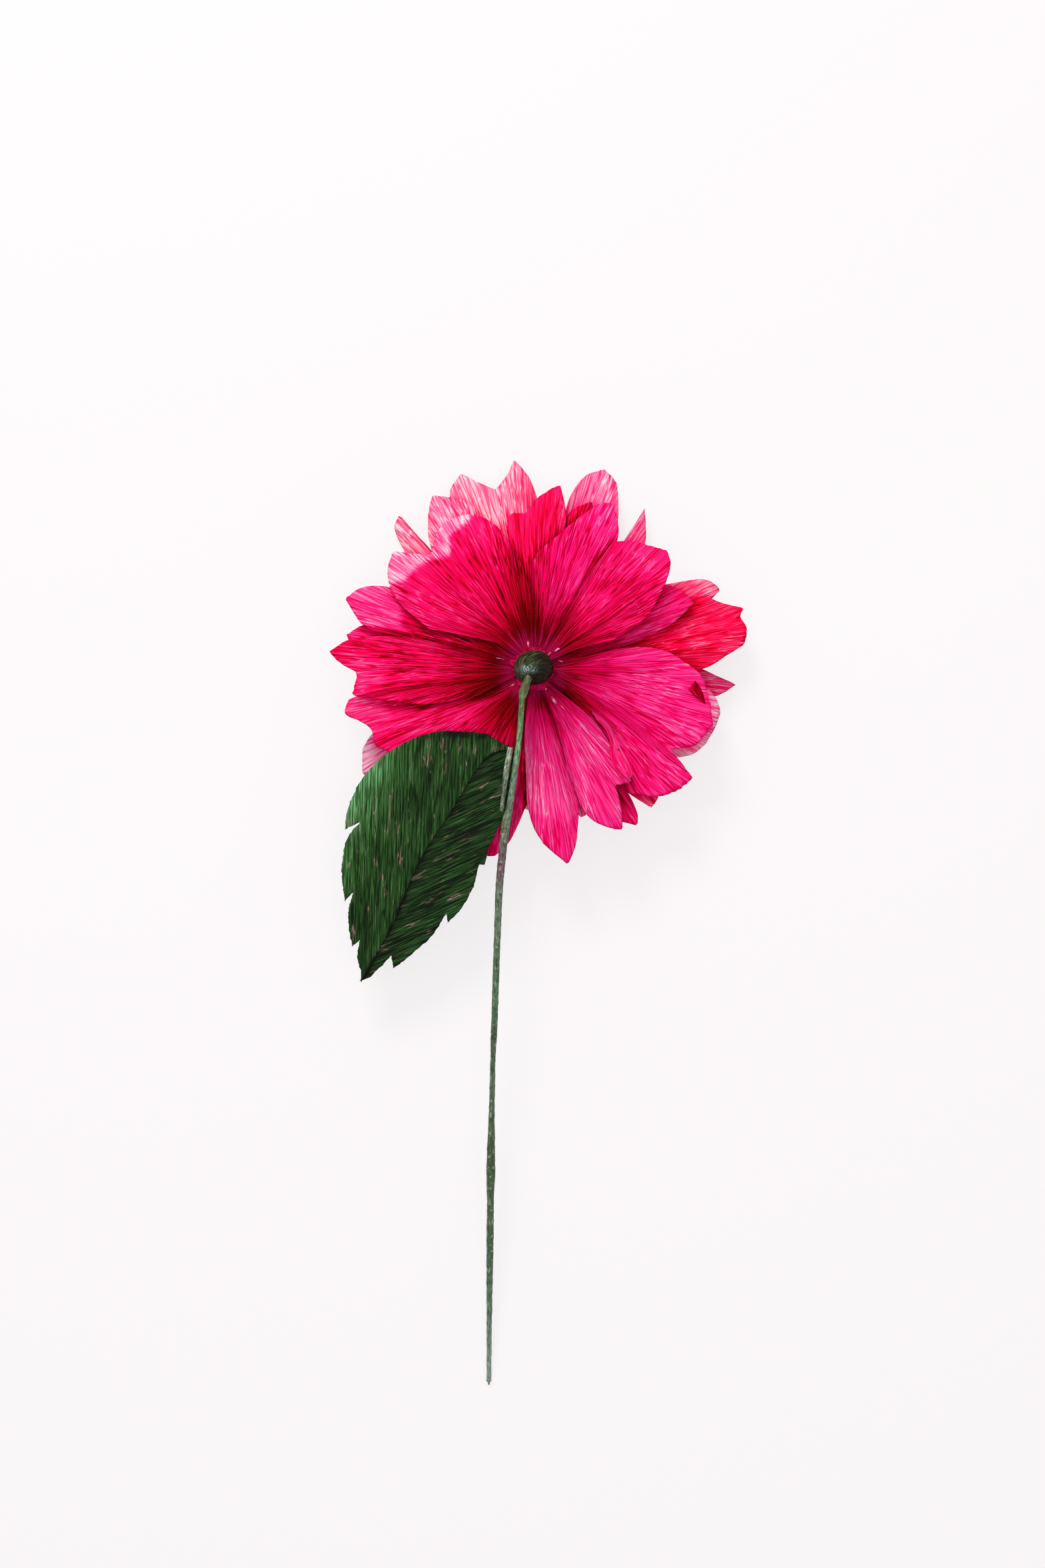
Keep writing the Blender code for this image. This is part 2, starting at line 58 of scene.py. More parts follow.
# Open petals
#
# Strips of crepe paper cut to a pointed lobe, gathered at the foot and glued in rows round the
# core. Light comes through one sheet as pale pink and through several as crimson; this is painted
# into each sheet's tone from the sheets that lie behind it. The grain runs from foot to tip in fine
# creases, and deeper pleats gather towards the foot.

PAPER = 0.22 * MM
CORE_RADIUS = 6.5 * MM
LAYER_STEP = 0.95 * MM
OPEN_REACH = 85.0 * MM
FIRST_DROP = 6.0 * MM
ROW_DROP = 6.4 * MM
HEAD_DEPTH = 41.5 * MM
SWEEP = 1.2
CREST_SHARE = 0.35
EDGE_SHARE = 0.25
FIBRE_SPACING = 0.95 * MM
FIBRE_STEPS = 42
FEWEST_FIBRES = 12
GRAIN_RADIUS = 45.0 * MM
RIM_WEIGHT = 0.45
CUT_JAG = 0.14 * MM
PLEAT_LEAST = 0.16 * MM
PLEAT_MOST = 0.5 * MM
PLEAT_SHARE = 0.16
PLEAT_SIZE = (3.4 * MM, 46.0 * MM)
CREASE_HEIGHT = 0.13 * MM
CREASE_SIZE = (1.5 * MM, 14.0 * MM)
WAVE_SHARE = 0.16
WAVE_SIZE = (13.0 * MM, 26.0 * MM)
BLOTCH_SHADE = 0.05
BLOTCH_SIZES = ((6.0 * MM, 30.0 * MM), (17.0 * MM, 24.0 * MM))
EDGE_BLUR = 1.4 * MM
LAYER_SHADE = 0.02
# Darker red towards the foot: partly the dye, partly painted shade between the gathered pleats
FOOT_DARK = 40.0 * MM
FOOT_FADE = 30.0 * MM
FOOT_SHADE = 0.29
# Reach of the painted shade along the sides, fading out with the radius
SIDE_SHADE_START = 1.35
SIDE_SHADE_END = 52.0 * MM
OUTER_START = 48.0 * MM
OUTER_FADE = 30.0 * MM
OUTER_SHADE = 0.005
# Painted shadow on a sheet near the edge of any sheet in front of it
COVER_REACH = 4.0 * MM
PAINTED_COVER_SHADOW = 0.2
TABLE_LEVEL = 0.1 * MM - HEAD_DEPTH

# name, row from the back, tone with nothing behind, tone with sheets behind, redness,
# outline of (bearing in degrees, reach in mm). Tone 0 is pale pink and 1 is dark red. The two
# tones are painted light through one sheet and through several.
PETALS = (
    ("petal_top_left_broad", 0, 0.19, 0.63, 0.35, (
        (91, 12), (92, 28), (96, 40), (103, 57), (110, 66), (117, 69), (124, 68), (132, 62),
        (140, 74), (146, 71), (152, 64), (159, 45), (154, 29), (145, 18))),
    ("petal_top_right", 0, 0.60, 0.65, 0.2, (
        (26, 15), (20, 34), (25, 50), (33, 63), (38, 70), (42, 72), (46, 69), (51, 66),
        (58, 61), (59, 52), (60, 40), (62, 22))),
    ("petal_bottom_right", 0, 0.50, 0.44, 0.0, (
        (293, 10), (293, 24), (289, 41), (289, 52), (290, 62), (294, 69), (299, 74), (303, 64),
        (305, 57), (311, 60), (314, 48), (319, 33), (320, 20), (317, 11))),
    ("petal_left", 0, 0.60, 0.70, 0.4, (
        (156, 12), (162, 28), (165, 45), (167, 59), (171, 76), (175, 83), (178, 78), (181, 71),
        (188, 74), (191, 63), (198, 45), (206, 24), (203, 12))),
    ("petal_top", 1, 0.50, 0.58, 0.0, (
        (57, 45), (57, 62), (61, 70), (65, 75), (68, 73), (73, 65), (80, 55), (89, 46),
        (92, 36), (91, 17))),
    ("petal_right_broad", 1, 0.58, 0.54, 0.0, (
        (-36, 16), (-42, 29), (-48, 48), (-52, 63), (-46, 71), (-40, 76), (-34, 78), (-30, 64),
        (-25, 72), (-17, 76), (-11, 73), (-2, 68), (1, 64), (8, 54), (12, 44), (14, 34), (13, 22))),
    ("petal_bottom", 1, 0.54, 0.40, 0.0, (
        (259, 13), (262, 26), (266, 43), (268, 57), (272, 68), (280, 80), (283, 74), (287, 62),
        (290, 50), (295, 34), (300, 18))),
    ("petal_left_upper", 1, 0.42, 0.70, 0.2, (
        (140, 22), (146, 45), (150, 67), (154, 77), (159, 82), (162, 77), (165, 72), (167, 60),
        (168, 45), (169, 28))),
    ("petal_left_lower_broad", 1, 0.46, 0.61, 0.35, (
        (198, 14), (190, 44), (187, 66), (189, 76), (193, 79), (200, 70), (205, 71), (210, 67),
        (219, 63), (232, 62), (244, 61), (253, 57), (256, 40), (255, 16))),
    ("petal_top_centre", 2, 0.54, 0.62, 0.6, (
        (76, 40), (77, 57), (79, 68), (82, 77), (86, 73), (89, 70), (93, 64), (98, 65),
        (101, 58), (100, 38), (97, 22))),
    ("petal_right_upper", 2, 0.56, 0.56, 0.2, (
        (12, 24), (16, 45), (19, 60), (23, 71), (28, 69), (33, 64), (37, 54), (40, 36))),
    ("petal_bottom_right_inner", 2, 0.62, 0.74, 0.1, (
        (303, 34), (301, 55), (300, 71), (304, 76), (306, 72), (308, 60), (312, 48), (315, 30))),
    ("petal_bottom_left_inner", 2, 0.56, 0.80, 0.1, (
        (246, 16), (252, 38), (255, 58), (255, 78), (258, 77), (262, 70), (265, 60), (269, 50),
        (272, 36), (273, 20))),
    ("petal_left_sliver", 2, 0.50, 0.72, 0.0, (
        (166, 28), (163, 55), (165, 72), (169, 78), (175, 72), (178, 52), (179, 27))),
    ("petal_top_right_inner", 3, 0.62, 0.72, 0.4, (
        (59, 50), (67, 64), (71, 74), (77, 67), (79, 58), (79, 40))),
    ("petal_top_left_inner", 3, 0.21, 0.27, 0.7, (
        (107, 36), (106, 60), (111, 74), (116, 80), (120, 84), (123, 79), (127, 72), (131, 62),
        (134, 46))),
    ("petal_right_red", 3, 0.50, 0.62, 0.9, (
        (-3, 28), (-1, 52), (1, 70), (5, 80), (8, 88), (12, 90), (15, 88), (17, 91), (20, 83),
        (24, 76), (28, 58), (30, 34))),
    ("petal_lower_right_red", 3, 0.50, 0.62, 0.6, (
        (307, 45), (308, 63), (311, 74), (314, 73), (319, 69), (324, 52))),
    ("pale_petal_top", 4, 0.20, 0.30, 0.8, (
        (85, 46), (87, 62), (91, 80), (95, 89), (98, 82), (102, 77), (106, 82), (110, 88),
        (114, 84), (117, 74), (118, 58), (119, 38))),
    ("pale_petal_right_upper", 4, 0.30, 0.36, 0.8, (
        (19, 44), (19, 68), (24, 85), (28, 82), (31, 73), (35, 60), (37, 50))),
    ("pale_petal_right_lower", 4, 0.14, 0.30, 0.2, (
        (-38, 34), (-35, 53), (-31, 68), (-26, 75), (-19, 78), (-12, 79), (-7, 75), (-3, 64),
        (-1, 48))),
    ("pale_petal_bottom", 4, 0.22, 0.30, 0.2, (
        (281, 31), (285, 54), (288, 63), (292, 61), (297, 50), (301, 36))),
    ("pale_petal_left_lower", 4, 0.12, 0.20, 0.0, (
        (196, 44), (199, 66), (204, 77), (210, 82), (216, 80), (223, 68), (228, 44))),
    ("pale_petal_top_round", 5, 0.28, 0.33, 0.4, (
        (58, 50), (59, 66), (63, 78), (67, 88), (71, 91), (75, 86), (78, 76), (79, 62),
        (79, 50))),
    ("pale_spike_top_left", 5, 0.28, 0.32, 0.8, (
        (129, 44), (130, 66), (130, 87), (133, 85), (136, 76), (140, 62), (144, 50))),
    ("pale_spike_right", 5, 0.40, 0.46, 0.4, (
        (-12, 44), (-9, 62), (-7, 77), (-3, 85), (-1, 77), (2, 68), (6, 46))),
    ("pale_spike_top_right", 5, 0.30, 0.36, 0.4, (
        (49, 46), (49, 70), (52, 76), (56, 83), (55.5, 66), (55, 48))),
)
OPEN_ROWS = 6

# How the tone departs from even, all painted shade: darker in the shade along the first side,
# darker in the shade along the last side, and a rise in shade from the first side to the last
SHADES = {
    "petal_top_left_broad": (0.42, 0.06, -0.06),
    "petal_top_right": (0.06, 0.10, 0.0),
    "petal_left": (0.10, 0.16, 0.0),
    "petal_top": (0.06, 0.42, 0.0),
    "petal_right_broad": (0.26, 0.24, -0.16),
    "petal_bottom": (0.08, 0.24, 0.06),
    "petal_left_upper": (0.0, 0.30, 0.0),
    "petal_left_lower_broad": (0.18, 0.24, 0.0),
    "petal_bottom_right": (0.12, 0.16, 0.0),
    "petal_top_centre": (0.34, 0.24, 0.0),
    "petal_bottom_left_inner": (0.3, 0.1, 0.0),
    "petal_right_red": (0.16, 0.0, -0.06),
    "pale_petal_top": (0.0, 0.0, -0.2),
}
EVEN_SHADE = (0.08, 0.08, 0.0)

# The first petal curls away from the sheets behind it, which show through up to this line only:
# there its painted tone of light through several sheets ends
SHOWN_THROUGH = {
    "petal_top_left_broad": (
        (90, 8), (92, 48), (100, 64), (108, 68), (112, 66.5), (115.5, 64.5), (119, 64), (122.5, 63),
        (123.6, 59.5), (127.2, 56.6), (133.9, 60.7), (137.9, 62), (145.6, 63), (148.5, 66),
        (152, 70), (160, 55), (164, 35), (156, 8)),
}

# The three rows of the flower's front: name, petals, reach, drop at that reach, first bearing
FRONT_ROWS = (
    ("front", 8, 64.0 * MM, 41.5 * MM, 11.3),
    ("inner", 7, 48.0 * MM, 41.0 * MM, 34.1),
    ("heart", 6, 33.0 * MM, 39.0 * MM, 7.7),
)
FRONT_FILL = 0.92
FRONT_OUTLINE = (
    (-0.8, 0.35), (-1.0, 0.62), (-0.75, 0.88), (0.0, 1.0), (0.75, 0.88), (1.0, 0.62), (0.8, 0.35),
)


def srgb(code):
    """Linear colour of a hex code such as #a1b2c3, by the sRGB curve."""
    parts = [int(code[k:k + 2], 16) / 255.0 for k in (1, 3, 5)]
    return tuple(c / 12.92 if c <= 0.04045 else ((c + 0.055) / 1.055) ** 2.4 for c in parts)


def add_node(tree, kind, settings=None, links=None):
    """A new node. Settings name its properties, its sockets or its ramp's stops. Links name the
    sockets that other nodes feed, from their first output or from the output given."""
    made = tree.nodes.new(kind)
    for key, value in (settings or {}).items():
        if key == "stops":
            for _ in value[2:]:
                made.color_ramp.elements.new(0.5)
            for element, (position, code) in zip(made.color_ramp.elements, value):
                element.position = position
                element.color = (*srgb(code), 1.0)
        elif isinstance(key, int) or key in made.inputs:
            is_colour = isinstance(value, str)
            made.inputs[key].default_value = (*srgb(value), 1.0) if is_colour else value
        else:
            setattr(made, key, value)
    for key, source in (links or {}).items():
        fed_by = source.outputs[0] if isinstance(source, bpy.types.Node) else source
        tree.links.new(fed_by, made.inputs[key])
    return made


def grain_noise(tree, across_mm, along_mm, detail):
    """Noise in wavering streaks across_mm wide and along_mm long, on the UV map, which is in mm."""
    grain = add_node(tree, "ShaderNodeUVMap", {"uv_map": "grain"})
    sized = add_node(tree, "ShaderNodeMapping", {
        "Scale": (1.0 / across_mm, 1.0 / along_mm, 1.0),
    }, {"Vector": grain})
    return add_node(tree, "ShaderNodeTexNoise", {
        "Scale": 1.0, "Detail": detail, "Roughness": 0.6, "Distortion": 0.25,
    }, {"Vector": sized})


def grain_lines(tree, across_mm, along_mm, width):
    """Thin lines that run on, meet and part: 1 where streaky noise crosses its middle value,
    falling to 0 where it is more than width away from it."""
    noise = grain_noise(tree, across_mm, along_mm, 1.0)
    centred = add_node(tree, "ShaderNodeMath", {"operation": "SUBTRACT", 1: 0.5}, {0: noise})
    away = add_node(tree, "ShaderNodeMath", {"operation": "ABSOLUTE"}, {0: centred})
    return add_node(tree, "ShaderNodeMapRange", {
        "interpolation_type": "SMOOTHSTEP", "From Max": width, "To Min": 1.0, "To Max": 0.0,
    }, {"Value": away})


def new_material(name):
    """An empty node material, with its output node."""
    made = bpy.data.materials.new(name)
    made.use_nodes = True
    made.node_tree.nodes.clear()
    out = made.node_tree.nodes.new("ShaderNodeOutputMaterial")
    return made, made.node_tree, out


def tint_shares(tree):
    """The three values that the mesh gives each point in its tint."""
    tint = add_node(tree, "ShaderNodeAttribute", {"attribute_name": "tint"})
    return add_node(tree, "ShaderNodeSeparateColor", None, {"Color": tint}).outputs


def plus_patterns(tree, start, patterns):
    """The start value plus each pattern times its amount."""
    for pattern, amount in patterns:
        start = add_node(tree, "ShaderNodeMath", {"operation": "MULTIPLY_ADD", 1: amount},
                         {0: pattern, 2: start})
    return start


def creased_shell(tree, colour, height, strength, depth_mm, roughness, specular):
    """A surface with a colour, and creases from a height pattern. Returns its bump as well."""
    bump = add_node(tree, "ShaderNodeBump", {"Strength": strength, "Distance": depth_mm * MM},
                    {"Height": height})
    shell = add_node(tree, "ShaderNodeBsdfPrincipled", {
        "Roughness": roughness, "Specular IOR Level": specular,
    }, {"Base Color": colour, "Normal": bump})
    return shell, bump


def flecked(name, scale, detail, stops, settings):
    """A material in fine flecks: noise on Object coordinates picks the colour from a ramp. Returns
    its tree, its flecks and its surface too, for what is added to it."""
    made, tree, out = new_material(name)
    place = add_node(tree, "ShaderNodeTexCoord")
    fleck = add_node(tree, "ShaderNodeTexNoise", {"Scale": scale, "Detail": detail},
                     {"Vector": place.outputs["Object"]})
    colour = add_node(tree, "ShaderNodeValToRGB", {"stops": stops}, {0: fleck})
    shell = add_node(tree, "ShaderNodeBsdfPrincipled", settings, {"Base Color": colour})
    tree.links.new(shell.outputs[0], out.inputs[0])
    return made, tree, fleck, shell


def crepe_paper(name, through_share):
    """Matt dyed crepe paper. The mesh gives the tone, its redness and nearness to the foot. Fine
    creases, long pleats and grooves follow the grain, and their colour follows their height:
    painted shade in the grooves and hollows, painted light on the crests. Thin paler lines on the
    ridges are a painted sheen. A share of the light comes through the sheet, or none of it."""
    made, tree, out = new_material(name)
    tone, redness, foot = tint_shares(tree)
    fine = grain_noise(tree, 0.75, 21.0, 3.0)
    pleat = grain_noise(tree, 2.6, 50.0, 2.0)
    groove = grain_lines(tree, 1.7, 26.0, 0.08)
    ridge = grain_lines(tree, 1.5, 13.0, 0.07)
    sheen_at = grain_noise(tree, 15.0, 30.0, 2.0)
    patch = add_node(tree, "ShaderNodeMapRange", {
        "interpolation_type": "SMOOTHSTEP", "From Min": 0.36, "From Max": 0.6,
    }, {"Value": sheen_at})
    far_from_foot = add_node(tree, "ShaderNodeMapRange", {
        "From Min": 0.75, "From Max": 0.3,
    }, {"Value": foot})
    # Painted sheen: paler thin lines along the ridges, in patches, fading out towards the foot
    wear_and_sheen = add_node(tree, "ShaderNodeMath", {"operation": "MULTIPLY"}, {0: ridge, 1: patch})
    wear_and_sheen = add_node(tree, "ShaderNodeMath", {"operation": "MULTIPLY"}, {0: wear_and_sheen, 1: far_from_foot})
    # The tone shifts with the creases' height: painted shade in grooves and hollows, painted light
    # on the crests, and the painted sheen
    place = add_node(tree, "ShaderNodeMath", {"operation": "ADD", 1: 0.34}, {0: tone})
    place = plus_patterns(tree, place, ((fine, -0.6), (pleat, -0.2), (groove, 0.22), (wear_and_sheen, -0.26)))
    pink = add_node(tree, "ShaderNodeValToRGB", {"stops": (
        (0.0, "#ffcadc"), (0.14, "#fe92b8"), (0.3, "#fd559b"), (0.45, "#fa2a84"),
        (0.6, "#f2086a"), (0.74, "#dd0044"), (0.87, "#a60013"), (1.0, "#5a0002"))}, {0: place})
    red = add_node(tree, "ShaderNodeValToRGB", {"stops": (
        (0.0, "#ffc0cc"), (0.14, "#fe8aa6"), (0.3, "#fe527e"), (0.45, "#fd1e55"),
        (0.6, "#fb003e"), (0.74, "#df001d"), (0.87, "#ae0006"), (1.0, "#640001"))}, {0: place})
    dyed = add_node(tree, "ShaderNodeMix", {"data_type": "RGBA"}, {0: redness, 6: pink, 7: red})
    streaked = plus_patterns(tree, foot, ((pleat, 0.9),))
    stain = add_node(tree, "ShaderNodeMapRange", {
        "interpolation_type": "SMOOTHSTEP", "From Min": 1.26, "From Max": 1.5, "To Max": 0.75,
    }, {"Value": streaked})
    stained = add_node(tree, "ShaderNodeMix", {"data_type": "RGBA", 7: "#d2125a"},
                       {0: stain, 6: dyed.outputs[2]})
    height = plus_patterns(tree, fine, ((pleat, 1.5), (groove, -0.3)))
    sheet, bump = creased_shell(tree, stained.outputs[2], height, strength=0.9, depth_mm=0.9,
                                roughness=0.7, specular=0.03)
    if through_share > 0.0:
        through = add_node(tree, "ShaderNodeBsdfTranslucent", None,
                           {"Color": stained.outputs[2], "Normal": bump})
        sheet = add_node(tree, "ShaderNodeMixShader", {0: through_share}, {1: sheet, 2: through})
    tree.links.new(sheet.outputs[0], out.inputs[0])
    return made


def ripple(u, v, pitch_u, pitch_v, seed, around=61, along=67):
    """Smooth noise from -1 to 1: random values on a lattice that repeats after around steps of
    u and along steps of v, eased between its points."""
    table = np.random.default_rng(seed).uniform(-1.0, 1.0, (around, along))
    a = u / pitch_u
    b = v / pitch_v
    i = np.floor(a).astype(int)
    j = np.floor(b).astype(int)
    fa = (a - i) ** 2 * (3.0 - 2.0 * (a - i))
    fb = (b - j) ** 2 * (3.0 - 2.0 * (b - j))
    near, far = (
        table[i % around, row % along] * (1.0 - fa) + table[(i + 1) % around, row % along] * fa
        for row in (j, j + 1)
    )
    return near * (1.0 - fb) + far * fb


def row_drop(row, radius):
    """How far a row's cone lies below the first row's foot at a radius."""
    base = row * LAYER_STEP
    reach, tip = OPEN_REACH, FIRST_DROP + ROW_DROP * row
    ring = row - OPEN_ROWS
    if ring >= 0:
        _, _, reach, tip, _ = FRONT_ROWS[min(ring, len(FRONT_ROWS) - 1)]
        tip = tip + (ROW_DROP if ring >= len(FRONT_ROWS) else 0.0)
    share = np.clip((radius - CORE_RADIUS) / (reach - CORE_RADIUS), 0.0, None)
    return base + (tip - base) * share ** SWEEP


def sheet_height(row, radius, across, along):
    """Height of a sheet: its row's cone, with a raised crest and lower sides."""
    drop = row_drop(row, radius)
    above = drop - row_drop(row - 1, radius) - LAYER_STEP
    below = row_drop(row + 1, radius) - drop - LAYER_STEP
    side = (2.0 * across - 1.0) ** 2
    cup = CREST_SHARE * above * (1.0 - side) - EDGE_SHARE * below * side
    return cup * (1.0 - along ** 6) - drop


def soft_curve(points, steps=14, sharp=48.0):
    """A cubic through the points that turns smoothly, except where it bends by more than sharp
    degrees. Returns its places and how many points lie before each."""
    legs = np.diff(points, axis=0)
    turn = np.zeros(len(points))
    lengths = np.linalg.norm(legs, axis=1)
    cosine = (legs[1:] * legs[:-1]).sum(axis=1) / (lengths[1:] * lengths[:-1])
    turn[1:-1] = np.degrees(np.arccos(np.clip(cosine, -1.0, 1.0)))
    t = np.linspace(0.0, 1.0, steps, endpoint=False)[:, None]
    places, counts = [], []
    for k in range(len(points) - 1):
        start = legs[k]
        end = legs[k]
        if k > 0 and turn[k] < sharp:
            start = (legs[k - 1] / lengths[k - 1] + legs[k] / lengths[k]) / 2.0 * lengths[k]
        if k < len(points) - 2 and turn[k + 1] < sharp:
            end = (legs[k] / lengths[k] + legs[k + 1] / lengths[k + 1]) / 2.0 * lengths[k]
        places.append(points[k] * (2 * t ** 3 - 3 * t ** 2 + 1) + start * (t ** 3 - 2 * t ** 2 + t)
                      + points[k + 1] * (3 * t ** 2 - 2 * t ** 3) + end * (t ** 3 - t ** 2))
        counts.append(k + t[:, 0])
    places.append(points[-1:])
    counts.append(np.array([len(points) - 1.0]))
    return np.vstack(places), np.concatenate(counts)


def even_points(line, count):
    """Count points at even distances along a line of points, and how far along it each lies."""
    run = np.concatenate(([0.0], np.cumsum(np.linalg.norm(np.diff(line, axis=0), axis=1))))
    even = np.linspace(0.0, run[-1], count)
    return np.stack([np.interp(even, run, column) for column in line.T], axis=1), even


def per_point(*layers):
    """One row for each point of a grid, from layers that are each a grid, a line or one value."""
    return np.stack(np.broadcast_arrays(*layers), axis=-1).reshape(-1, len(layers))


def plan_outline(outline):
    """Plan corners, in metres from the axis, of an outline of (bearing, reach in mm)."""
    table = np.array(outline, dtype=float)
    bearing = np.radians(table[:, 0])
    reach = table[:, 1] * MM
    return np.stack((np.cos(bearing) * reach, np.sin(bearing) * reach), axis=1), bearing


def inside_share(x, y, corners, soft):
    """0 outside a polygon and 1 inside, rising across its edge over soft metres: distance to the
    nearest side, with its sign from the even-odd rule."""
    p = corners
    q = np.roll(corners, -1, axis=0)
    e = q - p
    dx = x[:, None] - p[:, 0]
    dy = y[:, None] - p[:, 1]
    at = np.clip((dx * e[:, 0] + dy * e[:, 1]) / (e ** 2).sum(axis=1), 0.0, 1.0)
    away = np.hypot(dx - e[:, 0] * at, dy - e[:, 1] * at).min(axis=1)
    rise = np.where(np.abs(e[:, 1]) < 1e-12, 1e-12, e[:, 1])
    crosses = ((p[:, 1] > y[:, None]) != (q[:, 1] > y[:, None])) & (dx < e[:, 0] * dy / rise)
    sign = np.where(crosses.sum(axis=1) % 2 == 1, 1.0, -1.0)
    return np.clip(0.5 + sign * away / soft, 0.0, 1.0)


def ring_outline(count, reach, number, first_bearing):
    """The spoon-shaped front petal, turned to its place in a ring of count petals."""
    half = FRONT_FILL * 180.0 / count
    centre = first_bearing + 360.0 / count * number
    return [(centre + turn * half, share * reach / MM) for turn, share in FRONT_OUTLINE]


def add_object(name, data):
    """A new object in the scene that holds a mesh, a lamp or a camera."""
    made = bpy.data.objects.new(name, data)
    bpy.context.scene.collection.objects.link(made)
    return made


def thicken(piece, thickness, offset):
    """Gives a sheet its thickness: offset 1 adds it on top, and 0 on both sides."""
    paper = piece.modifiers.new("paper", "SOLIDIFY")
    paper.thickness = thickness
    paper.offset = offset


def make_mesh(name, verts, faces, material, uv=None, tint=None, wrap=0.0):
    """A smooth-shaded object from arrays; uv is in mm per point and tint is RGB per point. Where
    the grain runs round a closed shape, wrap is its length round, added past the seam."""
    mesh = bpy.data.meshes.new(name)
    mesh.from_pydata((np.asarray(verts) + AXIS).tolist(), [], [list(face) for face in faces])
    mesh.shade_smooth()
    if uv is not None:
        corner_points = np.empty(len(mesh.loops), dtype=np.int32)
        mesh.loops.foreach_get("vertex_index", corner_points)
        corner_uv = uv[corner_points].astype(np.float32)
        if wrap:
            starts = np.empty(len(mesh.polygons), dtype=np.int32)
            mesh.polygons.foreach_get("loop_start", starts)
            highest = np.maximum.reduceat(corner_uv[:, 0], starts)
            highest = np.repeat(highest, np.diff(np.append(starts, len(corner_uv))))
            corner_uv[:, 0] += wrap * (highest - corner_uv[:, 0] > wrap / 2.0)
        layer = mesh.uv_layers.new(name="grain")
        layer.data.foreach_set("uv", corner_uv.ravel())
    if tint is not None:
        layer = mesh.color_attributes.new("tint", "FLOAT_COLOR", "POINT")
        full = np.ones((len(tint), 4), dtype=np.float32)
        full[:, :3] = tint
        layer.data.foreach_set("color", full.ravel())
    mesh.materials.append(material)
    return add_object(name, mesh)


def grid_faces(rows, columns, closed=False):
    """Quads of a grid of points held row by row; closed joins the last row to the first."""
    i, j = np.meshgrid(np.arange(rows if closed else rows - 1), np.arange(columns - 1),
                       indexing="ij")
    a = (i * columns + j).ravel()
    b = ((i + 1) % rows * columns + j).ravel()
    return np.stack((a, a + 1, b + 1, b), axis=1)


def closed_skin(grid):
    """Points and outward faces of a grid held as columns round an axis, whose first and last
    stations each shrink to one point. Also says which of the grid's points were taken."""
    sides, stations = grid.shape[:2]
    index = np.arange(sides * stations).reshape(sides, stations)
    taken = np.concatenate((index[:, 1:-1].ravel(), index[0, [0, -1]]))
    points = grid.reshape(-1, 3)[taken]
    quads = grid_faces(sides, stations - 2, closed=True)
    column = np.arange(sides) * (stations - 2)
    after = np.roll(column, -1)
    pole = np.full(sides, sides * (stations - 2))
    caps = np.concatenate((np.stack((pole, column, after), axis=1),
                           np.stack((column, pole - 1, after), axis=1)
                           + np.array((stations - 3, 2, stations - 3))))
    corners = points[np.concatenate((quads[:, :3], quads[:, [0, 2, 3]], caps))]
    volume = (corners[:, 0] * np.cross(corners[:, 1], corners[:, 2])).sum()
    way = 1 if volume > 0.0 else -1
    return points, quads[:, ::way].tolist() + caps[:, ::way].tolist(), taken


def closed_object(name, grid, material, uv, tint, wrap):
    """The closed skin of a grid as an object, from uv and tint rows for all of its points."""
    verts, faces, taken = closed_skin(grid)
    return make_mesh(name, verts, faces, material, uv[taken], tint[taken], wrap)


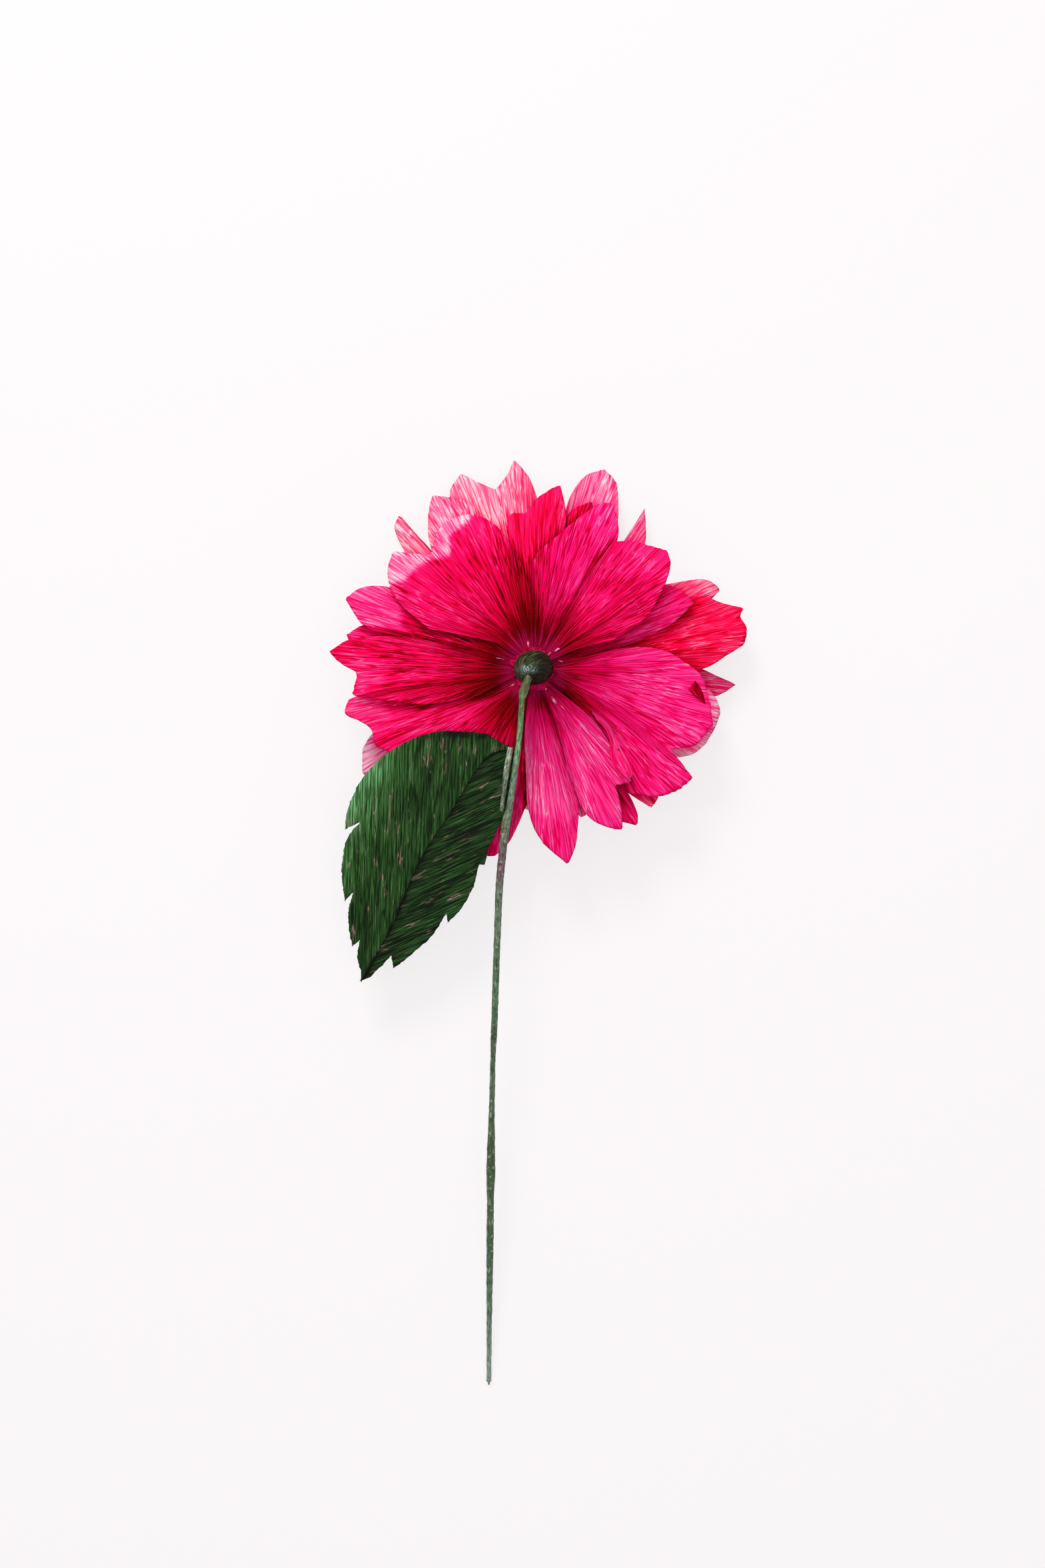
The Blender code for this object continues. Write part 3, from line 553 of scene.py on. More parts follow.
def petal(name, row, outline, tones, shades, material, seed, spacing, steps, behind, before):
    """A fan of fibres from the core's rim to the cut outline, on its row's cone.

    Each fibre is a straight line in plan, turned near the sides so that the side edges follow
    the outline where it bulges past the foot. Creases and waves along the fibres lift it.
    """
    corners, bearing = plan_outline(outline)
    first = int(np.argmin(bearing))
    last = len(bearing) - 1 - int(np.argmax(bearing[::-1]))
    curve, counts = soft_curve(corners[first:last + 1])
    counts = counts + first
    angle = np.unwrap(np.arctan2(curve[:, 1], curve[:, 0]))
    steps_along = np.hypot(np.diff(curve[:, 0]), np.diff(curve[:, 1]))
    weight = np.hypot(np.diff(angle) * GRAIN_RADIUS, RIM_WEIGHT * steps_along)
    run = np.concatenate(([0.0], np.cumsum(weight)))
    fibres = max(FEWEST_FIBRES, int(run[-1] / spacing))
    even = np.linspace(0.0, run[-1], fibres)
    rim = np.stack([np.interp(even, run, curve[:, k]) for k in (0, 1)], axis=1)
    across = np.interp(even, run, counts) / (len(outline) - 1)
    jag = np.random.default_rng(seed).normal(0.0, CUT_JAG, fibres)
    rim = rim * (1.0 + jag / np.hypot(rim[:, 0], rim[:, 1]))[:, None]
    foot = bearing[0] + (bearing[-1] - bearing[0]) * across
    base = np.stack((np.cos(foot), np.sin(foot)), axis=1) * CORE_RADIUS
    along = np.linspace(0.0, 1.0, steps)
    plan = base[:, None, :] + (rim - base)[:, None, :] * along[None, :, None]
    radius = np.hypot(plan[..., 0], plan[..., 1])
    # Up to its widest bearing, each side edge bends to the outline's own points
    share = np.linspace(0.0, 1.0, fibres)[:, None]
    for side, ends, fibre in ((1.0 - share, slice(0, first + 1), 0),
                              (share, slice(len(bearing) - 1, last - 1, -1), fibres - 1)):
        spots = corners[ends]
        if len(spots) > 1:
            spot_radius = np.hypot(spots[:, 0], spots[:, 1])
            line_angle = np.arctan2(plan[fibre, :, 1], plan[fibre, :, 0])
            line = np.interp(spot_radius, radius[fibre], np.unwrap(line_angle))
            wrapped = np.angle(np.exp(1j * (bearing[ends] - line)))
            offset = np.interp(radius, np.concatenate(([CORE_RADIUS], spot_radius)),
                               np.concatenate(([0.0], wrapped)), right=0.0)
            turn = offset * side ** 2
            cosine, sine = np.cos(turn), np.sin(turn)
            plan = np.stack((plan[..., 0] * cosine - plan[..., 1] * sine,
                             plan[..., 0] * sine + plan[..., 1] * cosine), axis=2)
    grain = np.broadcast_to(even[:, None], radius.shape)
    gap = np.maximum(row_drop(row + 1, radius) - row_drop(row, radius) - LAYER_STEP, 0.0)
    height = sheet_height(row, radius, across[:, None], along[None, :])
    pleat = np.minimum(PLEAT_LEAST + PLEAT_SHARE * gap, PLEAT_MOST)
    height = height + pleat * ripple(grain, radius, *PLEAT_SIZE, seed + 1)
    height = height + CREASE_HEIGHT * ripple(grain, radius, *CREASE_SIZE, seed + 2)
    height = height + WAVE_SHARE * gap * along * ripple(grain, radius, *WAVE_SIZE, seed + 3)
    height = np.maximum(height, TABLE_LEVEL)
    verts = np.concatenate((plan, height[..., None]), axis=2).reshape(-1, 3)
    x, y = verts[:, 0], verts[:, 1]
    # Painted light through the sheet: paler where nothing lies behind it, deeper red with each
    # sheet behind
    bare = np.ones(len(verts))
    layers = np.zeros(len(verts))
    for shape in behind:
        part = inside_share(x, y, shape, EDGE_BLUR)
        bare = bare * (1.0 - part)
        layers = layers + part
    alone, backed, redness = tones
    tone = alone + (backed - alone) * (1.0 - bare) + LAYER_SHADE * np.clip(layers - 2.0, 0.0, 2.0)
    flat = radius.ravel()
    # Nearness to the foot, where the red deepens: partly dye, partly painted shade
    foot = np.clip((FOOT_DARK - flat) / FOOT_FADE, 0.0, 1.0)
    # Painted shade along the first and last sides and a painted rise across the petal
    side_shade_reach = np.clip(SIDE_SHADE_START - flat / SIDE_SHADE_END, 0.0, 1.0)
    side = np.repeat(across, steps)
    tone = tone + (shades[0] * (1.0 - side) ** 2 + shades[1] * side ** 2) * side_shade_reach
    tone = tone + shades[2] * (side - 0.5) + FOOT_SHADE * foot ** 1.5
    tone = tone + OUTER_SHADE * np.clip((flat - OUTER_START) / OUTER_FADE, 0.0, 1.0)
    # Painted shadow where a sheet in front overhangs this one
    cover_shadow = np.zeros(len(verts))
    for shape in before:
        cover_shadow = np.maximum(cover_shadow, inside_share(x, y, shape, 2.0 * COVER_REACH))
    tone = tone + PAINTED_COVER_SHADOW * np.minimum(2.0 * cover_shadow, 1.0) ** 1.5
    for number, size in enumerate(BLOTCH_SIZES):
        tone = tone + BLOTCH_SHADE * ripple(grain, radius, *size, seed + 4 + number).ravel()
    tint = per_point(np.clip(tone, 0.0, 1.0), redness, foot)
    # Each sheet takes its creases from another part of the pattern
    uv = per_point(grain.ravel() / MM + 37.0 * (seed % 23), flat / MM + 11.0 * (seed % 17))
    made = make_mesh(name, verts, grid_faces(fibres, steps), material, uv, tint)
    thicken(made, PAPER, 1.0)
    return made


ring_sheets = [
    (f"{kind}_petal_{number + 1:02d}", OPEN_ROWS + depth, ring_outline(count, reach, number, start))
    for depth, (kind, count, reach, drop, start) in enumerate(FRONT_ROWS)
    for number in range(count)
]
footprints = [(row, plan_outline(outline)[0]) for name, row, *tones, outline in PETALS]
footprints += [(row, plan_outline(outline)[0]) for name, row, outline in ring_sheets]

crimson = crepe_paper("crimson_crepe_paper", 0.14)
pale = crepe_paper("pale_pink_crepe_paper", 0.18)
open_points = []
for number, (name, row, *tones, outline) in enumerate(PETALS):
    behind = [shape for depth, shape in footprints if depth > row]
    before = [shape for depth, shape in footprints if depth < row]
    if name in SHOWN_THROUGH:
        behind = [plan_outline(SHOWN_THROUGH[name])[0]]
    is_pale = name.startswith("pale")
    piece = petal(name + "_paper", row, outline, tones, SHADES.get(name, EVEN_SHADE),
                  pale if is_pale else crimson, 100 + 7 * number, FIBRE_SPACING, FIBRE_STEPS,
                  behind, before)
    points = np.empty(len(piece.data.vertices) * 3)
    piece.data.vertices.foreach_get("co", points)
    open_points.append(points.reshape(-1, 3) - AXIS)
    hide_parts(name)
    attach(piece, "root")

open_points = np.vstack(open_points)


def top_of_petals(x, y, within):
    """Height of the highest point of the open petals near each place."""
    far = np.hypot(open_points[:, 0] - x[:, None], open_points[:, 1] - y[:, None]) > within
    return np.where(far, -1.0, open_points[:, 2]).max(axis=1)


# Turned rims
#
# Where a rim is creased over, a strip of the sheet lies on its neighbour: the rolled side of the
# lower right petal, and a small triangle of the broad right one that shows its inner face, whose
# dark tone is painted shade in the fold. Each strip's turned edge has a painted highlight.

RIM_STRIPS = (
    ("petal_rim_roll", 0.56, 0.55,
     ((23.6, -17.6), (25.2, -20.2), (29.0, -24.4), (30.6, -29.6), (30.8, -35.6), (34.9, -42.4),
      (38.1, -44.2)),
     ((23.6, -17.0), (26.4, -18.9), (29.9, -22.2), (34.9, -31.0), (38.9, -39.1), (40.3, -42.6),
      (38.1, -44.2))),
    # The fold's dark tone is painted shade
    ("petal_rim_fold", 0.92, 0.4,
     ((65.4, -4.5), (62.4, -7.8), (65.4, -10.4), (69.4, -13.4)),
     ((65.4, -4.5), (67.3, -6.6), (68.7, -9.8), (69.4, -13.4))),
)
RIM_ACROSS = 10
RIM_ALONG = 48
RIM_SEAT = 1.6 * MM
RIM_ROLL = 0.5
# Painted highlight along each strip's turned edge
RIM_EDGE_HIGHLIGHT = 0.16
RIM_REDNESS = 0.15
for number, (name, strip_tone, rise_mm, inner_mm, outer_mm) in enumerate(RIM_STRIPS):
    sides = []
    for side_mm in (inner_mm, outer_mm):
        line, _ = soft_curve(np.array(side_mm), 10, 60.0)
        side, run = even_points(line, RIM_ALONG)
        sides.append(side)
    over = np.repeat(np.linspace(0.0, 1.0, RIM_ACROSS), RIM_ALONG)
    inner, outer = (np.tile(side, (RIM_ACROSS, 1)) for side in sides)
    plan = (inner * (1.0 - over[:, None]) + outer * over[:, None]) * MM
    under = top_of_petals(plan[:, 0], plan[:, 1], RIM_SEAT)
    roll = np.sin(math.pi * over) * rise_mm * RIM_ROLL * MM
    strip_verts = np.column_stack((plan, under + rise_mm * MM + roll))
    width = over * np.hypot(*(sides[1] - sides[0]).T).max()
    strip_uv = per_point(width + 51.0 * number, np.tile(run, RIM_ACROSS))
    # Paler towards the turned edge: a painted highlight
    strip_tint = per_point(strip_tone - RIM_EDGE_HIGHLIGHT * over ** 3, RIM_REDNESS, 0.0)
    strip = make_mesh(name, strip_verts, grid_faces(RIM_ACROSS, RIM_ALONG), crimson,
                      strip_uv, strip_tint)
    thicken(strip, PAPER, 1.0)
    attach(strip, "root")

# Front petals
#
# The flower's face, which lies on the table: three rows of shorter crepe petals round the bud,
# cut as spoons and curved down to the table. Deeper in tone row by row, and too closely packed to
# let light through.

FRONT_SPACING = 1.3 * MM
FRONT_STEPS = 24
pink = crepe_paper("pink_crepe_paper", 0.0)
for number, (name, row, outline) in enumerate(ring_sheets):
    depth = row - OPEN_ROWS
    piece = petal(name + "_paper", row, outline, (0.34 + 0.1 * depth, 0.5 + 0.08 * depth, 0.2),
                  EVEN_SHADE, pink, 900 + 7 * number, FRONT_SPACING, FRONT_STEPS, [], [])
    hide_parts(name)
    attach(piece, "root")

# Bud
#
# The flower's centre: a strip of crepe rolled into a pointed bud, so its outer edges overlap in
# a spiral. Deep pink and matt, glued under the core.

BUD_SIDES = 150
BUD_STEPS = 60
BUD_LAPS = 5.0
BUD_SLANT = 1.6
BUD_GRAIN = 10.0
BUD_LENGTH_GRAIN = 20.0
BUD_FOLD = 0.1
BUD_ROUGH = 0.012
BUD_TONE = 0.62
BUD_LAP_SHADE = 0.3
BUD_REDNESS = 0.15
BUD_DOWN = (0.0, 0.04, 0.12, 0.38, 0.68, 0.93, 1.0)
BUD_WIDE = (0.0, 0.5, 0.76, 0.96, 0.86, 0.46, 0.0)


def full_turn(sides):
    """Even bearings round a full turn, as a column."""
    return np.linspace(0.0, FULL_TURN, sides, endpoint=False)[:, None]


def round_ripple(turn, along, folds, pitch, seed):
    """Smooth noise that meets itself after a full turn, with a number of folds in it."""
    return ripple(turn, along, FULL_TURN / folds, pitch, seed, folds)


bud_low, bud_high = np.array(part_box("bud_centre"))
bud_radius = (bud_high - bud_low)[:2].min() / 2.0
bud_depth = bud_high[2] - bud_low[2]
turn = full_turn(BUD_SIDES)
down = np.linspace(0.0, 1.0, BUD_STEPS)[None, :]
lap = (turn / FULL_TURN * BUD_LAPS + BUD_SLANT * down) % 1.0
fold = 1.0 - BUD_FOLD * lap ** 3 * np.sin(math.pi * down) ** 0.5
fold = fold + BUD_ROUGH * round_ripple(turn, down, 61, 0.4, 5)
around = bud_radius * np.interp(down, BUD_DOWN, BUD_WIDE) * fold
bud_middle = (bud_low + bud_high) / 2.0 - AXIS
bud_grid = np.stack((
    bud_middle[0] + np.cos(turn) * around,
    bud_middle[1] + np.sin(turn) * around,
    np.broadcast_to(bud_high[2] - AXIS[2] - bud_depth * down, around.shape),
), axis=2)
bud_uv = per_point(BUD_GRAIN * turn, BUD_LENGTH_GRAIN * down)
# Painted shade where each turn of the strip tucks under the next
bud_tint = per_point(BUD_TONE + BUD_LAP_SHADE * lap ** 4, BUD_REDNESS, 0.0)
bud = closed_object("rolled_bud", bud_grid, pink, bud_uv, bud_tint, FULL_TURN * BUD_GRAIN)
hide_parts("bud_centre")
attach(bud, "root")

# Petal core
#
# A plug of rolled card that the petals are glued to, hidden between them and under the ball.
# Matt and fibrous, soaked crimson by the petals' dye.

core_paper, tree, fleck, shell = flecked(
    "rolled_card", 900.0, 4.0, ((0.3, "#5e0a26"), (0.55, "#8c1239"), (0.75, "#a83258")),
    {"Roughness": 0.85})
bump = add_node(tree, "ShaderNodeBump", {"Strength": 0.4, "Distance": 0.1 * MM}, {"Height": fleck})
tree.links.new(bump.outputs[0], shell.inputs["Normal"])
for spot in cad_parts["petal_core"].material_slots:
    spot.material = core_paper

# Calyx ball
#
# A ball of wadding wrapped in dark green floral tape, pulled into folds round the place where
# the stem enters it. The tape's wax makes it glossy. A patch of small bright glints where dried
# glue would shine is a painted highlight; the side away from the light is painted shade, and the
# folds are painted darker in their furrows and lighter on their crests.

BALL_SIDES = 132
BALL_RINGS = 72
BALL_GRAIN = 8.0
BALL_TWIST = 0.9
BALL_FULLNESS = 0.972
ball_low, ball_high = np.array(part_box("calyx_ball"))
ball_middle = (ball_low + ball_high) / 2.0 - AXIS
ball_half = (ball_high - ball_low) / 2.0
pole = np.array((-0.2, -0.52, 0.83))
pole = pole / np.linalg.norm(pole)
east = pole * pole[2] - np.array((0.0, 0.0, 1.0))
east = east / np.linalg.norm(east)
north = np.cross(pole, east)
turn = full_turn(BALL_SIDES)
polar = np.linspace(0.0, math.pi, BALL_RINGS)[None, :]
unit = (np.cos(polar)[..., None] * pole
        + (np.sin(polar) * np.cos(turn))[..., None] * east
        + (np.sin(polar) * np.sin(turn))[..., None] * north)
twist = turn + BALL_TWIST * polar
folds = (0.030 * round_ripple(twist, polar, 13, 1.1, 41)
         + 0.020 * round_ripple(twist, polar, 29, 0.6, 42)
         + 0.018 * round_ripple(turn, polar, 7, 0.45, 43)) * np.sin(polar) ** 0.4
ball_grid = ball_middle + unit * ball_half * (BALL_FULLNESS + folds)[..., None]
ball_uv = per_point(twist, polar) * BALL_GRAIN
# Painted highlight: a patch of whitish glints where dried glue would catch the light
glint_way = np.array((-0.34, -0.10, 0.93))
glint_zone = np.exp(-((unit - glint_way) ** 2 / np.array((0.12, 0.035, 1.0))).sum(axis=2))
# Painted shade on the ball's side away from the light, to the right and below
shade_zone = np.clip(unit @ np.array((0.85, -0.45, -0.1)) + 0.35, 0.0, 1.0)
ball_tint = per_point(glint_zone, shade_zone, 0.0)

waxed_tape, tree, out = new_material("glossy_calyx_tape")
glint_share, shade_share, _ = tint_shares(tree)
crease = grain_noise(tree, 1.3, 4.5, 3.0)
furrow = grain_lines(tree, 1.9, 6.0, 0.07)
bead = grain_lines(tree, 1.0, 1.7, 0.09)
# The colour follows the folds' height: painted shade in furrows and hollows, painted light on the
# crests, darkened further on the painted shade side
place = plus_patterns(tree, crease, ((shade_share, -0.2), (furrow, -0.1)))
green = add_node(tree, "ShaderNodeValToRGB", {
    "stops": ((0.3, "#050600"), (0.43, "#191c05"), (0.55, "#2f3b13"), (0.7, "#55783a")),
}, {0: place})
# Painted highlight: the glint streaks are mixed over the green in that patch
glue = add_node(tree, "ShaderNodeMath", {"operation": "MULTIPLY"}, {0: bead, 1: glint_share})
glued = add_node(tree, "ShaderNodeMix", {"data_type": "RGBA", 7: "#cfe6dd"}, {0: glue, 6: green})
height = plus_patterns(tree, crease, ((furrow, -0.4),))
shell, _ = creased_shell(tree, glued.outputs[2], height, strength=1.0, depth_mm=1.1,
                         roughness=0.24, specular=0.22)
tree.links.new(shell.outputs[0], out.inputs[0])
ball = closed_object("calyx_ball_tape", ball_grid, waxed_tape, ball_uv, ball_tint,
                     FULL_TURN * BALL_GRAIN)
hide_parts("calyx_ball")
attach(ball, "root")

# Glue collar
#
# Crumpled scraps of magenta crepe and glue round the ball's foot, where the petals are tied in.
# A ruffled ring of uneven width, with its folds running outwards.

COLLAR_SIDES = 360
COLLAR_STEPS = 12
COLLAR_RADIUS_MM = 6.4
COLLAR_WIDTH_MM = 2.1
COLLAR_RISE_MM = 0.62
COLLAR_TONE = 0.86
COLLAR_GRAIN = 9.0
COLLAR_STAIN = 0.97
SCRAP_THICKNESS = 0.15 * MM
turn = full_turn(COLLAR_SIDES)
out_share = np.linspace(0.0, 1.0, COLLAR_STEPS)[None, :]
width = COLLAR_WIDTH_MM + 1.1 * round_ripple(turn, 0.0 * turn, 11, 1.0, 81)
width = width + 0.8 * round_ripple(turn, 0.0 * turn, 61, 1.0, 82)
ring = COLLAR_RADIUS_MM + width * out_share
lift = COLLAR_RISE_MM + 0.3 * out_share * round_ripple(turn, out_share, 29, 0.6, 83)
lift = lift + 0.25 * round_ripple(turn, out_share, 61, 0.35, 84)
collar_verts = per_point(np.cos(turn) * ring, np.sin(turn) * ring, lift) * MM
collar_uv = per_point(COLLAR_GRAIN * turn, ring)
collar_tone = COLLAR_TONE + 0.2 * round_ripple(turn, out_share, 47, 0.5, 85)
collar_tint = per_point(collar_tone, 0.0, COLLAR_STAIN)
collar = make_mesh("glue_collar", collar_verts,
                   grid_faces(COLLAR_SIDES, COLLAR_STEPS, closed=True), crimson,
                   collar_uv, collar_tint, FULL_TURN * COLLAR_GRAIN)
thicken(collar, SCRAP_THICKNESS, 0.0)
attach(collar, "root")

# Glue drops
#
# Beads and short strings of dried craft glue on the petals round the ball. Clear glue that has
# picked up the dye: pinkish white and glossy. Each is a flattened, tapering bead.

# x, y, half length and half width in mm, and the bearing that each points to
GLUE_DROPS = (
    (-2.1, 9.8, 1.3, 0.45, 100.0), (6.2, 6.0, 0.9, 0.35, 50.0), (9.2, 7.6, 1.2, 0.3, 34.0),
    (8.2, -12.5, 1.9, 0.55, -52.0), (4.6, -7.6, 1.3, 0.25, -60.0), (-13.4, 4.2, 1.6, 0.16, 172.0),
    (10.8, 3.2, 0.9, 0.2, -20.0), (-8.6, -6.4, 1.2, 0.25, 38.0), (11.8, -15.6, 1.5, 0.2, -48.0),
)
DROP_SIDES = 20
DROP_RINGS = 12
DROP_RISE_MM = 0.05
DROP_HALF_HEIGHT_MM = 0.35
DROP_SEAT = 1.2 * MM
turn = full_turn(DROP_SIDES)
polar = np.linspace(0.0, math.pi, DROP_RINGS)[None, :]
drop_points, drop_faces = [], []
for number, (x, y, half_length, half_width, heading) in enumerate(GLUE_DROPS):
    lumpy = 1.0 + 0.3 * round_ripple(turn, polar, 5, 0.9, 600 + number) * np.sin(polar)
    along = np.sin(polar) * np.cos(turn) * half_length * lumpy
    across = np.sin(polar) * np.sin(turn) * half_width * lumpy * (1.0 + 0.3 * along / half_length)
    way = math.radians(heading)
    seat = top_of_petals(np.array([x * MM]), np.array([y * MM]), DROP_SEAT)[0] / MM
    grid = np.stack((x + along * math.cos(way) - across * math.sin(way),
                     y + along * math.sin(way) + across * math.cos(way),
                     seat + DROP_RISE_MM + DROP_HALF_HEIGHT_MM * np.cos(polar) * lumpy), axis=2)
    points, faces, _ = closed_skin(grid)
    offset = number * len(points)
    drop_points.append(points * MM)
    drop_faces += [[corner + offset for corner in face] for face in faces]
dried_glue = flecked(
    "dried_craft_glue", 1400.0, 3.0, ((0.38, "#a8184a"), (0.52, "#cf5580"), (0.68, "#f0a8be")),
    {"Roughness": 0.3, "Specular IOR Level": 0.4})[0]
drops = make_mesh("glue_drops", np.vstack(drop_points), drop_faces, dried_glue)
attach(drops, "root")

# Stem
#
# A wire wound in waxed paper tape that overlaps in a spiral and thickens where a length starts
# again. Sage green, with purple stains from the petals' dye. The bare wire shows at the end.

STEM_START_RISE = 10.4 * MM
STEM_NECK_MM = ((-0.6, -1.2, 9.6), (-1.8, -3.6, 12.4), (-3.3, -7.2, 13.2), (-4.5, -11.5, 12.2))
STEM_ROUTE_MM = (
    (-5.0, -17.0), (-5.8, -28.0), (-8.0, -44.0), (-9.8, -56.0), (-11.3, -63.0), (-13.0, -78.0),
    (-13.9, -89.0), (-14.7, -108.0), (-15.9, -142.0), (-16.5, -157.0), (-17.3, -190.0),
    (-17.9, -229.0), (-18.3, -264.0), (-18.6, -296.5),
)
WRAP_DIAMETERS_MM = (
    (0.0, 2.9), (5.0, 3.1), (9.8, 3.7), (13.2, 2.3), (40.0, 2.4), (56.0, 2.7), (60.0, 3.7),
    (72.0, 3.3), (89.0, 3.0), (115.0, 2.75), (150.0, 2.7), (156.0, 2.1), (176.0, 2.35),
    (190.0, 3.0), (206.0, 3.8), (218.0, 2.9), (232.0, 3.1), (255.0, 2.6), (275.0, 2.2),
    (296.5, 2.1),
)
STEM_COLOURS = (
    (0.0, "#26270c"), (4.0, "#4a4a20"), (8.0, "#56652f"), (11.0, "#5c7c42"), (20.0, "#5f8b55"),
    (31.0, "#6d9c6b"), (47.0, "#688169"), (63.0, "#637357"), (72.0, "#6b5d5a"), (80.0, "#6f4d5a"),
    (90.0, "#62745c"), (111.0, "#5d7557"), (132.0, "#4d6f4c"), (148.0, "#3f5c3c"),
    (168.0, "#5c7052"), (185.0, "#4a5e42"), (201.0, "#3b5034"), (213.0, "#4a6040"),
    (238.0, "#3f5f40"), (258.0, "#577058"), (280.0, "#7d9080"), (297.0, "#94a399"),
)
LAP_PITCH_MM = 8.5
LAP_SWING_MM = 13.0
LAP_SWING = 0.15


def smooth_route(points, stations):
    """Even stations along a Catmull-Rom curve through the route's points."""
    p = np.array(points, dtype=float)
    p = np.vstack((2.0 * p[0] - p[1], p, 2.0 * p[-1] - p[-2]))
    fine = []
    for k in range(1, len(p) - 2):
        t = np.linspace(0.0, 1.0, 24, endpoint=k == len(p) - 3)[:, None]
        fine.append(0.5 * (2.0 * p[k] + (p[k + 1] - p[k - 1]) * t
                           + (2.0 * p[k - 1] - 5.0 * p[k] + 4.0 * p[k + 1] - p[k + 2]) * t ** 2
                           + (3.0 * p[k] - p[k - 1] - 3.0 * p[k + 1] + p[k + 2]) * t ** 3))
    return even_points(np.vstack(fine), stations)


def tube_grid(route, radii):
    """Points round a route, side by side from its underside: radii has one value per station and
    side. The sides keep level, so they don't twist. The end stations draw in to the route."""
    ahead = np.gradient(route, axis=0)
    ahead = ahead / np.linalg.norm(ahead, axis=1)[:, None]
    side = np.cross(ahead, (0.0, 0.0, 1.0))
    side = side / np.linalg.norm(side, axis=1)[:, None]
    top = np.cross(side, ahead)
    angle = np.linspace(-0.5 * math.pi, 1.5 * math.pi, radii.shape[1], endpoint=False)
    round_ = (np.cos(angle)[None, :, None] * side[:, None, :]
              + np.sin(angle)[None, :, None] * top[:, None, :])
    points = route[:, None, :] + round_ * radii[..., None]
    closed = np.concatenate((np.repeat(route[:1, None, :], radii.shape[1], axis=1), points,
                             np.repeat(route[-1:, None, :], radii.shape[1], axis=1)))
    return closed.transpose(1, 0, 2)


def paper_tape(name, crease_shade, streak_pale, stain):
    """Waxed paper tape: its colour comes from the mesh, with painted shade in its lengthwise
    creases, paler where the wax is stretched and stained by the petals' dye."""
    made, tree, out = new_material(name)
    tape_colour = add_node(tree, "ShaderNodeAttribute", {"attribute_name": "tint"})
    crease = grain_noise(tree, 0.7, 5.0, 4.0)
    furrow = grain_lines(tree, 1.5, 7.0, 0.07)
    mottle = grain_noise(tree, 1.7, 2.6, 3.0)
    # Painted shade in the creases and furrows, where the bump's height is low
    deep = add_node(tree, "ShaderNodeMapRange", {
        "interpolation_type": "SMOOTHSTEP", "From Min": 0.6, "From Max": 0.38,
        "To Max": crease_shade,
    }, {"Value": crease})
    deep = plus_patterns(tree, deep, ((furrow, 0.35),))
    dark = add_node(tree, "ShaderNodeMix", {"data_type": "RGBA", 7: "#18230f"},
                    {0: deep, 6: tape_colour})
    stretched = add_node(tree, "ShaderNodeMapRange", {
        "interpolation_type": "SMOOTHSTEP", "From Min": 0.52, "From Max": 0.7,
        "To Max": streak_pale,
    }, {"Value": mottle})
    pale = add_node(tree, "ShaderNodeMix", {"data_type": "RGBA", 7: "#b9c9ad"},
                    {0: stretched, 6: dark.outputs[2]})
    dyed = add_node(tree, "ShaderNodeMapRange", {
        "interpolation_type": "SMOOTHSTEP", "From Min": 0.42, "From Max": 0.28, "To Max": 0.55,
    }, {"Value": mottle})
    stained = add_node(tree, "ShaderNodeMix", {"data_type": "RGBA", 7: stain},
                       {0: dyed, 6: pale.outputs[2]})
    height = plus_patterns(tree, crease, ((furrow, -0.4),))
    shell, _ = creased_shell(tree, stained.outputs[2], height, strength=0.8, depth_mm=0.4,
                             roughness=0.42, specular=0.3)
    tree.links.new(shell.outputs[0], out.inputs[0])
    return made


def tint_along(down_mm, table):
    """Linear colours at distances down the stem, from a table of (mm, hex colour)."""
    stops = np.array([mm for mm, code in table])
    shades = np.array([srgb(code) for mm, code in table])
    return np.stack([np.interp(down_mm, stops, shades[:, k]) for k in range(3)], axis=-1)


def taped_wire(name, route, stations, sides, diameters_mm, colours, slack, lap_height, lumps,
               girth_mm, tape):
    """A closed tube of wound tape: radius from a table of (mm down the stem, diameter), less some
    slack, plus a step where each turn laps the last and lumps of (height, folds, pitch, seed)."""
    route, run = smooth_route(route, stations)
    down_mm = -route[:, 1] / MM
    run_mm = run[:, None] / MM
    turn = np.linspace(0.0, 1.0, sides, endpoint=False)[None, :]
    lap = (run_mm / LAP_PITCH_MM + turn + LAP_SWING * np.sin(run_mm / LAP_SWING_MM)) % 1.0
    widths = np.array(diameters_mm)
    radii = np.interp(down_mm, widths[:, 0], widths[:, 1])[:, None] / 2.0
    radii = radii + lap_height * lap - slack
    for height, folds, pitch, seed in lumps:
        radii = radii + height * ripple(turn, run_mm, 1.0 / folds, pitch, seed, folds)
    grid = tube_grid(route, radii * MM)
    held_run = np.pad(run_mm[:, 0], 1, mode="edge")
    uv = per_point(girth_mm * turn.T, held_run)
    tint = tint_along(np.pad(down_mm, 1, mode="edge"), colours)
    tint = np.broadcast_to(tint, grid.shape).reshape(-1, 3)
    return closed_object(name, grid, tape, uv, tint, girth_mm)


end_radius = WRAP_DIAMETERS_MM[-1][1] * MM / 2.0
start_y = STEM_ROUTE_MM[0][1] * MM
end_y = STEM_ROUTE_MM[-1][1] * MM
slope = math.atan2(HEAD_DEPTH + STEM_START_RISE - end_radius, start_y - end_y)
end_rise = end_radius * math.cos(slope) - HEAD_DEPTH
stem_route = [(x * MM, y * MM, z * MM) for x, y, z in STEM_NECK_MM]
stem_route += [
    (x * MM, y * MM,
     STEM_START_RISE + (end_rise - STEM_START_RISE) * (y * MM - start_y) / (end_y - start_y))
    for x, y in STEM_ROUTE_MM
]
stem_tape = paper_tape("sage_stem_tape", 0.55, 0.36, "#6b4a52")
stem = taped_wire("stem_tape_wrap", stem_route, 760, 22, WRAP_DIAMETERS_MM, STEM_COLOURS,
                  slack=0.08, lap_height=0.1, lumps=((0.07, 9, 1.4, 61), (0.06, 4, 5.0, 62)),
                  girth_mm=9.0, tape=stem_tape)
